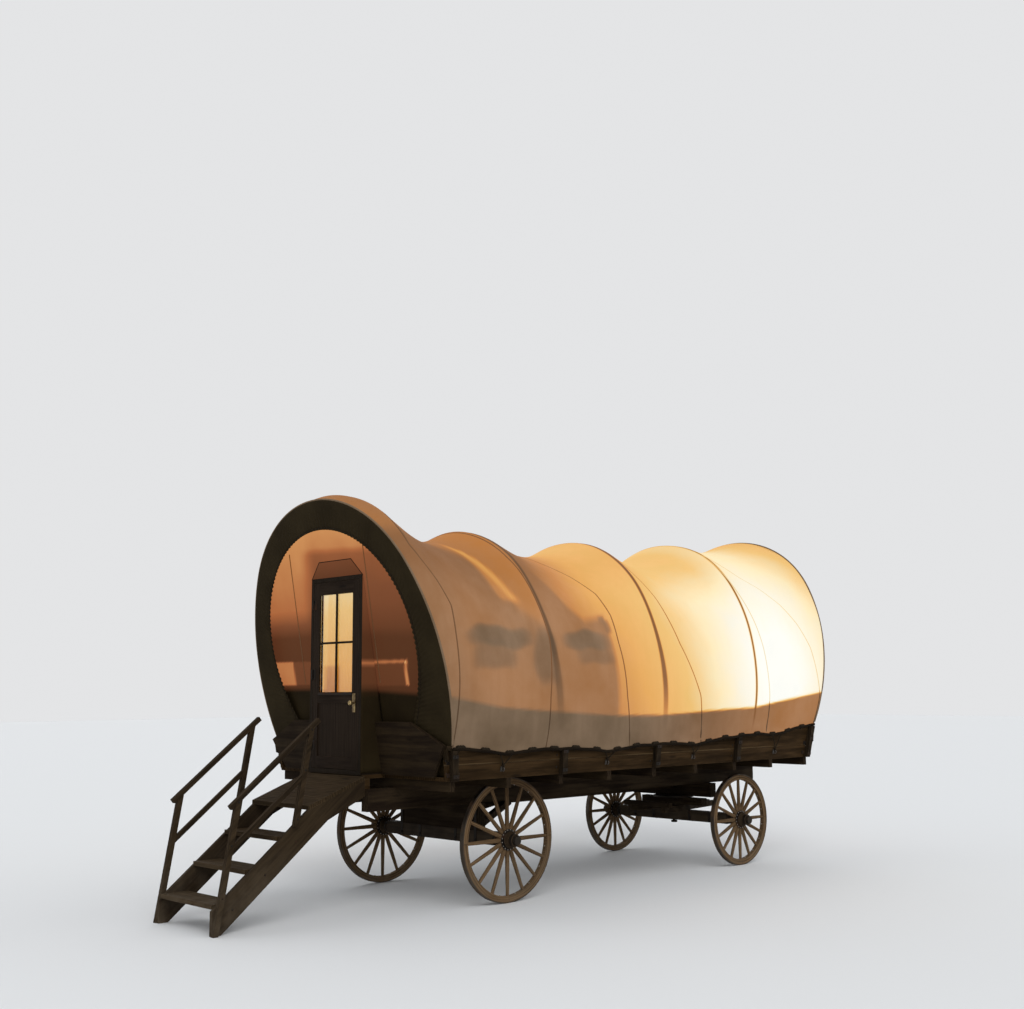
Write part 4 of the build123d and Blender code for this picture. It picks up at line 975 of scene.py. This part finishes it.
# Axles: a square timber with turned iron arms let into its ends, each with a collar that
# holds the hub off the timber and a nut outside it.
HUB_INNER, COLLAR_LONG = 0.9147, 0.014
material, tree, surface = finish_of("axle_timber_and_iron", 0.74, 0.10)
at = add(tree, "TexCoord").outputs["Object"]
from_middle = maths(tree, "ABSOLUTE", add(tree, "SeparateXYZ", {0: at}).outputs["Y"])
is_iron = maths(tree, "GREATER_THAN", from_middle, HUB_INNER - 2 * COLLAR_LONG + 0.0005)
grain = group_node(tree, timber_group, Vector=mapped(tree, at, Rotation=TURN_Y))
wood = mixed(tree, grain["Grain"], *BEAM_TONES[::-1])
bloom = ranged(tree, group_node(tree, weather_group, Vector=at, Scale=9.0)["Blotch"], 0.46, 0.62)
color = mixed(tree, is_iron, wood, mixed(tree, bloom, *IRON_TONES))
bare = times(tree, ranged(tree, bloom, 0.0, 1.0, 0.85, 0.1), is_iron)
fed(tree, surface, {"Base Color": dusted(tree, at, color, 0.9, 0.5), "Metallic": bare})
bumped(tree, surface, grain["Height"], 0.5, 0.0012)
dress(material, "rear_axle", "front_axle")


# Wheels: a turned elm hub, sixteen oak spokes and bent felloes, bare and grey-brown, bound by
# a shrunk iron tyre. The hub is black with grease, its iron bands and two riveted flanges
# clasp the spokes' roots.
def either(tree, chosen, a, b):
    """Place b where chosen is 1, and place a where it is 0."""
    return add(tree, "Mix", {0: chosen, 4: a, 5: b}, data_type="VECTOR").outputs[1]


WHEEL_RADII, TYRE_T, FELLOE = (("rear", REAR_AXLE_X, 0.635), ("front", FRONT_AXLE_X, 0.555)), 0.012, 0.058
SPOKES, FELLOE_PIECES, HUB_R, NOSE_R, RIVET_R, RIVET_OUT = 16, 8, 0.088, 0.062, 0.101, 0.0308
HUB_BANDS = (  # radius, way out from the hub's middle, half-width, thickness
    (NOSE_R, 0.115, 0.014, 0.0035),
    (HUB_R, 0.040, 0.010, 0.003),
    (HUB_R - 0.001, 0.0285, 0.0025, 0.023),
)
CAP_BOLT = ((0.0, 0.006), (0.004, 0.0055), (0.0065, 0.003), (0.0065, 0.0))
RIM_NUT = ((0.0, 0.007), (0.006, 0.0065), (0.008, 0.004), (0.008, -0.001))
wheel_ins = {"Vector": None, "Middle X": 0.0, "Middle Z": 0.6, "Rim": 0.5}
wheel_group, given, out = shader_group("wheel_grain", wheel_ins, ("Grain", "Height", "Knots"))
tree = wheel_group
place = add(tree, "SeparateXYZ", {0: given["Vector"]}).outputs
dx = maths(tree, "SUBTRACT", place["X"], given["Middle X"])
dz = maths(tree, "SUBTRACT", place["Z"], given["Middle Z"])
turn = maths(tree, "ARCTAN2", dz, dx)
radius = maths(tree, "SQRT", maths(tree, "MULTIPLY_ADD", dz, dz, times(tree, dx, dx)))
round_way = times(tree, turn, 0.9)
on_spoke = add(tree, "CombineXYZ", {"X": radius, "Y": round_way, "Z": place["Y"]}).outputs[0]
on_rim = add(tree, "CombineXYZ", {"X": round_way, "Y": radius, "Z": place["Y"]}).outputs[0]
is_rim = maths(tree, "GREATER_THAN", radius, given["Rim"])
grain = group_node(tree, timber_group, Vector=either(tree, is_rim, on_spoke, on_rim))
joint = maths(tree, "PINGPONG", times(tree, turn, FELLOE_PIECES / (2 * np.pi)), 1.0)
joint = times(tree, ranged(tree, joint, 0.010, 0.004), is_rim)
greasy = ranged(tree, radius, 0.108, 0.100, 0.0, 1.35)
dark_spots = maths(tree, "MAXIMUM", maths(tree, "MAXIMUM", joint, grain["Knots"]), greasy)
lowered = maths(tree, "SUBTRACT", grain["Height"], joint)
fed(tree, out, {"Grain": grain["Grain"], "Height": lowered, "Knots": dark_spots})


def turned(profile, sides):
    """Surface of revolution about z: radius and height along a profile, closed at its ends."""
    profile = np.asarray(profile, float)
    turn = np.arange(sides) * 2 * np.pi / sides
    radius = np.maximum(profile[:, :1], 1e-5)
    points = np.stack(np.broadcast_arrays(radius * np.cos(turn), radius * np.sin(turn), profile[:, 1:]), -1)
    return points.reshape(-1, 3), grid_faces(len(profile), sides, False, True)[:, ::-1]


def copies(shape, places, out):
    """A shape repeated at places, each time turned so that its own z points along out."""
    points, faces = shape
    places = np.asarray(places, float).reshape(-1, 3)
    out = np.broadcast_to(np.asarray(out, float), places.shape)
    out = out / np.linalg.norm(out, axis=1, keepdims=True)
    spare = np.where(np.abs(out[:, 2:]) > 0.9, (1.0, 0, 0), (0, 0, 1.0))
    side = np.cross(spare, out)
    side = side / np.linalg.norm(side, axis=1, keepdims=True)
    frames = np.stack((side, np.cross(out, side), out), 1)
    moved = np.einsum("nk,mkj->mnj", points, frames) + places[:, None]
    numbered = faces[None] + (np.arange(len(places)) * len(points))[:, None, None]
    return moved.reshape(-1, 3), numbered.reshape(-1, faces.shape[1])


def ring_band(middle, radius, half_w, thickness, sides=64):
    """Flat hoop about a wheel's axis: a rounded oblong section carried round the circle."""
    across = half_w * np.array((-1, -0.9, 0.9, 1, 1, -1))
    raised = np.array((0, thickness, thickness, 0, -0.001, -0.001))
    turn, row = np.meshgrid(np.arange(sides) * 2 * np.pi / sides, np.arange(6), indexing="ij")
    r = radius + raised[row]
    points = np.stack((r * np.cos(turn), across[row], r * np.sin(turn)), -1) + middle
    return points.reshape(-1, 3), grid_faces(sides, 6, True, True)


between = (np.arange(SPOKES) + 0.5) * 2 * np.pi / SPOKES
inward = -np.stack((np.cos(between), np.zeros(SPOKES), np.sin(between)), -1)
for end, middle_x, wheel_r in WHEEL_RADII:
    rim_in = wheel_r - TYRE_T - FELLOE
    about = {"Middle X": REAR_POST_X + middle_x, "Middle Z": wheel_r, "Rim": rim_in}
    wheel_wood = timber(
        end + "_wheel_wood", (0.185, 0.112, 0.056), (0.062, 0.037, 0.018), worn=(0.30, 0.20, 0.12),
        grain=lambda tree, at, about=about: group_node(tree, wheel_group, Vector=at, **about),
    )
    for side_name, side in (("right", -1), ("left", 1)):
        wheel = f"{end}_{side_name}"
        hub = np.array((middle_x, side * WHEEL_Y, wheel_r))
        bands = []
        for radius, out_way, half_w, thickness in HUB_BANDS:
            for way in (side, -side):
                bands.append(ring_band(hub + (0, way * out_way, 0), radius, half_w, thickness))
        bolts = [copies(turned(RIM_NUT, 6), hub - rim_in * inward, inward)]
        for way in (side, -side):
            rivets_at = hub - RIVET_R * inward + (0, way * RIVET_OUT, 0)
            bolts.append(copies(turned(CAP_BOLT, 8), rivets_at, (0, way, 0)))
        dress(wheel_wood, "wheel_" + wheel)
        new_piece("hub_bands_" + wheel, *together(bands), wheel + "_wheel", "iron", gear_iron, smooth=False)
        new_piece("wheel_bolts_" + wheel, *together(bolts), wheel + "_wheel", "iron", bright_iron)

# Steps: sawn planks in dark tones with pale worn edges, on two bent stringers, with handrails
# of squared bar bolted to leaning posts.
TREAD_RUN, TREAD_RISE = 0.338, 0.2725
STEP_SLOPE = np.arctan(TREAD_RISE / TREAD_RUN)
UP_STEPS = (0, STEP_SLOPE, 0)
step_wood = timber(
    "step_wood", (0.058, 0.037, 0.018), (0.021, 0.013, 0.006), TURN_Y, worn=(0.13, 0.092, 0.052)
)
dress(step_wood, "step_treads", "entry_ramp")
dress(timber("stringer_wood", (0.040, 0.026, 0.013), (0.015, 0.009, 0.005), UP_STEPS), "step_stringers")
handrail_wood = timber("handrail_wood", (0.044, 0.028, 0.014), (0.017, 0.011, 0.006), UP_STEPS)
dress(handrail_wood, "handrail_right", "handrail_left")

# Door: a framed and panelled leaf with four panes, painted dark brown, in a boxed frame. Its
# stiles stand upright and its rails lie across.
DOOR_FACE_X, LEAF_LOW, GLASS_LOW, GLASS_TOP_Z = -0.380, 1.385, 2.165, 3.185


def door_grain(tree, at):
    """Grain that runs up the stiles and panel, and across the rails between them."""
    place = add(tree, "SeparateXYZ", {0: at}).outputs
    between = maths(tree, "LESS_THAN", maths(tree, "ABSOLUTE", place["Y"]), 0.30)
    bottom = maths(tree, "LESS_THAN", place["Z"], LEAF_LOW + 0.12)
    upper = maths(tree, "GREATER_THAN", place["Z"], GLASS_LOW - 0.11)
    is_rail = times(tree, maths(tree, "MAXIMUM", bottom, upper), between)
    way = either(tree, is_rail, mapped(tree, at, Rotation=TURN_Z), mapped(tree, at, Rotation=TURN_Y))
    return group_node(tree, timber_group, Vector=way)


door_paint = timber(
    "door_paint", (0.022, 0.013, 0.007), (0.012, 0.007, 0.004),
    worn=(0.070, 0.043, 0.024), rough=0.66, bump=0.25, grain=door_grain,
)
dress(door_paint, "door_leaf")
frame_stain = timber(
    "door_frame_stain", (0.018, 0.011, 0.006), (0.009, 0.006, 0.003), TURN_Z,
    worn=(0.060, 0.038, 0.020), rough=0.65,
)
dress(frame_stain, "door_frame")
brass, tree, surface = finish_of("old_brass")
tarnish = add(tree, "TexCoord").outputs["Object"]
tarnish = group_node(tree, weather_group, Vector=tarnish, Scale=14.0)["Blotch"]
tone = mixed(tree, ranged(tree, tarnish, 0.40, 0.65), (0.40, 0.29, 0.13), (0.13, 0.085, 0.040))
shine = ranged(tree, tarnish, 0.0, 1.0, 0.25, 0.55)
fed(tree, surface, {"Base Color": tone, "Metallic": 0.9, "Roughness": shine})
dress(brass, "door_lock")
pane, tree, surface = finish_of("window_glass")
smear = noise(tree, add(tree, "TexCoord").outputs["Object"], 4.0, 5.0)
fed(tree, surface, {"Roughness": ranged(tree, smear, 0.45, 0.75, 0.02, 0.10), "IOR": 1.45})
fed(tree, surface, {"Base Color": (0.97, 0.98, 0.97), "Transmission Weight": 1.0})
dress(pane, "door_glass")

# Door curtain: thin cotton gathered on a brass rod across the inside of the panes, held by a
# bracket at each end, with the cabin's light in it.
CURTAIN_X, CURTAIN_HALF, CURTAIN_FOLDS = DOOR_FACE_X + 0.044 + 0.028, 0.318, 13
CURTAIN_TOP, CURTAIN_LOW = GLASS_TOP_Z + 0.035, GLASS_LOW - 0.040
ROD_Z, ROD_HALF, ROD_R, BRACKET_Y, BRACKET_R = GLASS_TOP_Z + 0.033, 0.345, 0.005, 0.335, 0.004
v, share = np.meshgrid(np.linspace(-1, 1, 241), np.linspace(0, 1, 60), indexing="ij")
folding = 2 * np.pi * CURTAIN_FOLDS * v
folds = np.cos(folding + 0.8 * np.sin(5 * v) + 0.4 * share) * (0.006 + 0.004 * share)
y, z = CURTAIN_HALF * v, CURTAIN_TOP - share * (CURTAIN_TOP - CURTAIN_LOW)
lit = np.interp(z, (2.15, 2.6, 3.2), (0.40, 0.47, 0.62)) + 0.025 * np.cos(folding + 1)
lit = lit - 0.09 * patch(-y, z, -0.27, -0.03, 2.1, 2.42, 0.04)
lit = lit + 0.05 * patch(y, z, 0.24, 0.40, 2.2, 3.3, 0.02)
curtain_cloth = canvas("curtain_cotton", (0.22, 0.15, 0.080), (0.17, 0.115, 0.060))
curtain = new_piece(
    "door_curtain", np.stack((CURTAIN_X + folds, y, z), -1), grid_faces(*v.shape)[:, ::-1],
    "door", "end_canvas", curtain_cloth, uv=np.stack((v * 0.5, share * 1.1), -1), light=lit,
)
rod = [tube(np.linspace((CURTAIN_X, -ROD_HALF, ROD_Z), (CURTAIN_X, ROD_HALF, ROD_Z), 4), ROD_R, 10)]
for y in (-BRACKET_Y, BRACKET_Y):
    rod.append(tube(((CURTAIN_X, y, ROD_Z), (DOOR_FACE_X + 0.043, y, ROD_Z)), BRACKET_R))
curtain_rod = new_piece("curtain_rod", *together(rod), "door", "lock_metal", brass)

# Box irons: a forged strap bolted round each stake's foot, carriage bolts through the boards
# beside the stakes, corner irons at the four corners, and nails over every joist.
STAKE_X, STAKE_RAKE = 1.510 * np.arange(5), np.radians((-9, -3, 0, 3, 9))
STRAP_HALF, STRAP_HALF_H, STRAP_OUT, IRON_T = 0.037, 0.017, 0.0585, 0.004
CORNER_LONG, CORNER_HALF_H, CORNER_RAKE = 0.16, 0.02, np.radians(10)
JOIST_X = 6.040 * np.arange(9) / 8
DOME = ((0.0, 0.0070), (0.005, 0.0062), (0.009, 0.0035), (0.011, 0.0002), (0.011, -0.001))
HEX = ((0.0, 0.009), (0.009, 0.009), (0.011, 0.0075), (0.011, 0.0))
HEX += ((0.016, 0.0), (0.016, -0.002), (0.0, -0.002))
NAIL = ((0.0, 0.0012), (0.0035, 0.0008), (0.0042, -0.0005))


def irons(plates):
    """Flat irons from four-cornered outlines, each raised along out with a small bevel."""
    shapes = []
    for corners, thickness, out in plates:
        corners = np.asarray(corners, float)
        raised = thickness * np.asarray(out, float) / np.linalg.norm(out)
        middle = corners.mean(0)
        rings = [corners, corners + 0.7 * raised]
        rings += [middle + share * (corners - middle) + raised for share in (0.985, 0.4925)]
        faces = np.concatenate((grid_faces(4, 4, False, True)[:, ::-1], [[12, 13, 14, 15]]))
        shapes.append((np.concatenate(rings), faces))
    return together(shapes)


def facing(side, y_out, x0, x1, low, high):
    """Outline of an upright iron on the flared side, counter-clockwise from outside."""
    x, z = np.array((x0, x1, x1, x0)), np.array((low, low, high, high))
    corners = np.stack((x, side * (box_y(z) + y_out), z), -1)
    return corners if side < 0 else corners[::-1]


def fasteners(name, head, sides, driven, body="box", smooth=True):
    """Piece of iron heads, one for each place and the way out that goes with it."""
    places, ways = zip(*driven)
    heads = copies(turned(head, sides), places, ways)
    return new_piece(name, *heads, body, "iron", gear_iron, smooth=smooth)


plates, bolts, nails = [], [], []
for side in (-1, 1):
    out = np.array((0, side * np.cos(FLARE), -np.sin(FLARE)))
    for x, rake in zip(STAKE_X, np.tan(STAKE_RAKE)):
        for z in (1.345, 1.535):
            mid = x + (z - BOARD_FOOT_Z) * rake
            low, high = z - STRAP_HALF_H, z + STRAP_HALF_H
            strap = facing(side, STRAP_OUT, mid - STRAP_HALF, mid + STRAP_HALF, low, high)
            plates.append((strap, IRON_T, out))
            bolts.append((strap.mean(0) + IRON_T * out, out))
        for z in (1.375, 1.500):
            for reach in (-0.075, 0.075):
                mid = x + reach + (z - BOARD_FOOT_Z) * rake
                bolts.append(((mid, side * (box_y(z) + 0.0003), z), out))
    for z in (1.325, 1.425):
        for reach in (-0.015, 0.015):
            nails += [((x + reach, side * (box_y(z) + 0.0002), z), out) for x in JOIST_X]
    for end_x, sign in ((-0.070, -1), (6.110, 1)):
        for z in (1.360, 1.480):
            x = end_x + sign * (z - BOARD_FOOT_Z) * np.tan(CORNER_RAKE)
            low, high = z - CORNER_HALF_H, z + CORNER_HALF_H
            corner = facing(side, 0.0005, x, x - sign * CORNER_LONG, low, high)
            plates.append((corner if sign < 0 else corner[::-1], IRON_T, out))
            for reach in (0.045, 0.12):
                bolts.append(((x - sign * reach, side * (box_y(z) + 0.0045), z), out))
new_piece("box_irons", *irons(plates), "box", "iron", gear_iron, smooth=False)
fasteners("box_bolts", DOME, 10, bolts)
fasteners("box_nails", NAIL, 6, nails)

# Step fasteners: nails in pairs at the ends of each tread and along the top board, and bolts
# through the stringers and the handrails' posts.
TOP_BOARD_X, TOP_BOARD_Z, NOSING = (-1.010, -0.3603), (1.090, 1.330), 0.020
TREAD_Z = TREAD_RISE * np.arange(1, 4)
TREAD_X = TOP_BOARD_X[0] + TREAD_RUN * np.arange(-3, 0) - NOSING
POST_X, POST_TOP, POST_LEAN = (-1.829, -1.035), 0.760, np.radians(10)
nails, bolts = [], []
for x, z in zip(TREAD_X, TREAD_Z):
    for y in (-0.435, 0.435):
        nails += [((x + reach, y, z + 0.0002), (0, 0, 1)) for reach in (0.05, 0.15, 0.24)]
for y in (-0.478, 0.478):
    for x in (-0.98, -0.82, -0.66, -0.50, -0.40):
        nails.append(((x, y, np.interp(x, TOP_BOARD_X, TOP_BOARD_Z) + 0.0002), (0, 0, 1)))
for side in (-1, 1):
    for x, z in zip(TREAD_X, TREAD_Z):
        bolts.append(((x + 0.20, side * 0.5002, z - 0.060), (0, side, 0)))
    for x in POST_X:
        top = TOP_BOARD_Z[0] + (x - TOP_BOARD_X[0]) * np.tan(STEP_SLOPE) + POST_TOP
        for down in (0.022, 0.405, 0.86):
            bolts.append(((x - down * np.tan(POST_LEAN), side * 0.5505, top - down), (0, side, 0)))
fasteners("step_nails", NAIL, 6, nails)
fasteners("step_bolts", DOME, 10, bolts)

# Gear irons: forged clips on both faces of the axle timbers, drawn up by hexagon nuts on the
# clips and under the timber. On the rear axle the outer ones reach up over the bolster.
CLIP_Y, CLIP_HALF, CLIP_T, CLIP_OUT, SHORT_CLIP = (-0.62, -0.30, 0.30, 0.62), 0.02, 0.005, 0.0603, 0.13
GEARS = (  # end, body, station, underside of the axle timber, top that a long clip reaches
    ("rear", "box", REAR_AXLE_X, 0.570, 0.980),
    ("front", "front_gear", FRONT_AXLE_X, 0.490, 0.620),
)


def cross_iron(x, sign, y, half, low, high, thickness):
    """Iron on a face that looks along the wagon: its outline, thickness and way out."""
    y0, y1 = y - sign * half, y + sign * half
    return ((x, y0, low), (x, y1, low), (x, y1, high), (x, y0, high)), thickness, (sign, 0, 0)


for end, body, x, low, top in GEARS:
    clips, nuts = [], []
    for y in CLIP_Y:
        high = top - 0.004 if abs(y) > 0.5 else low + SHORT_CLIP
        for sign in (-1, 1):
            face_x = x + sign * CLIP_OUT
            clips.append(cross_iron(face_x, sign, y, CLIP_HALF, low, high, CLIP_T))
            nuts.append(((face_x + sign * CLIP_T, y, low + 0.035), (sign, 0, 0)))
        nuts.append(((x, y, low - 0.0002), (0, 0, -1)))
    new_piece(end + "_gear_clips", *irons(clips), body, "iron", gear_iron, smooth=False)
    fasteners(end + "_gear_nuts", HEX, 6, nuts, body, smooth=False)

# Door irons: three hinge leaves let into the stile beside the knuckles, each held by three
# screws, and a drip strip under the panes that throws rain off the rail.
HINGE_Z = LEAF_LOW + 1.930 * np.array((0.12, 0.5, 0.88))
HINGE_Y, IRON_X = 0.373, DOOR_FACE_X - 0.0002
plates = [cross_iron(IRON_X, -1, HINGE_Y, 0.023, z - 0.05, z + 0.05, 0.003) for z in HINGE_Z]
plates.append(cross_iron(IRON_X, -1, 0.0, 0.30, GLASS_LOW - 0.030, GLASS_LOW - 0.004, 0.010))
new_piece("door_irons", *irons(plates), "door", "iron", gear_iron, smooth=False)
screws = []
for z in HINGE_Z:
    screws += [((IRON_X - 0.003, HINGE_Y, z + reach), (-1, 0, 0)) for reach in (-0.035, 0.0, 0.035)]
fasteners("hinge_screws", NAIL, 8, screws, "door")
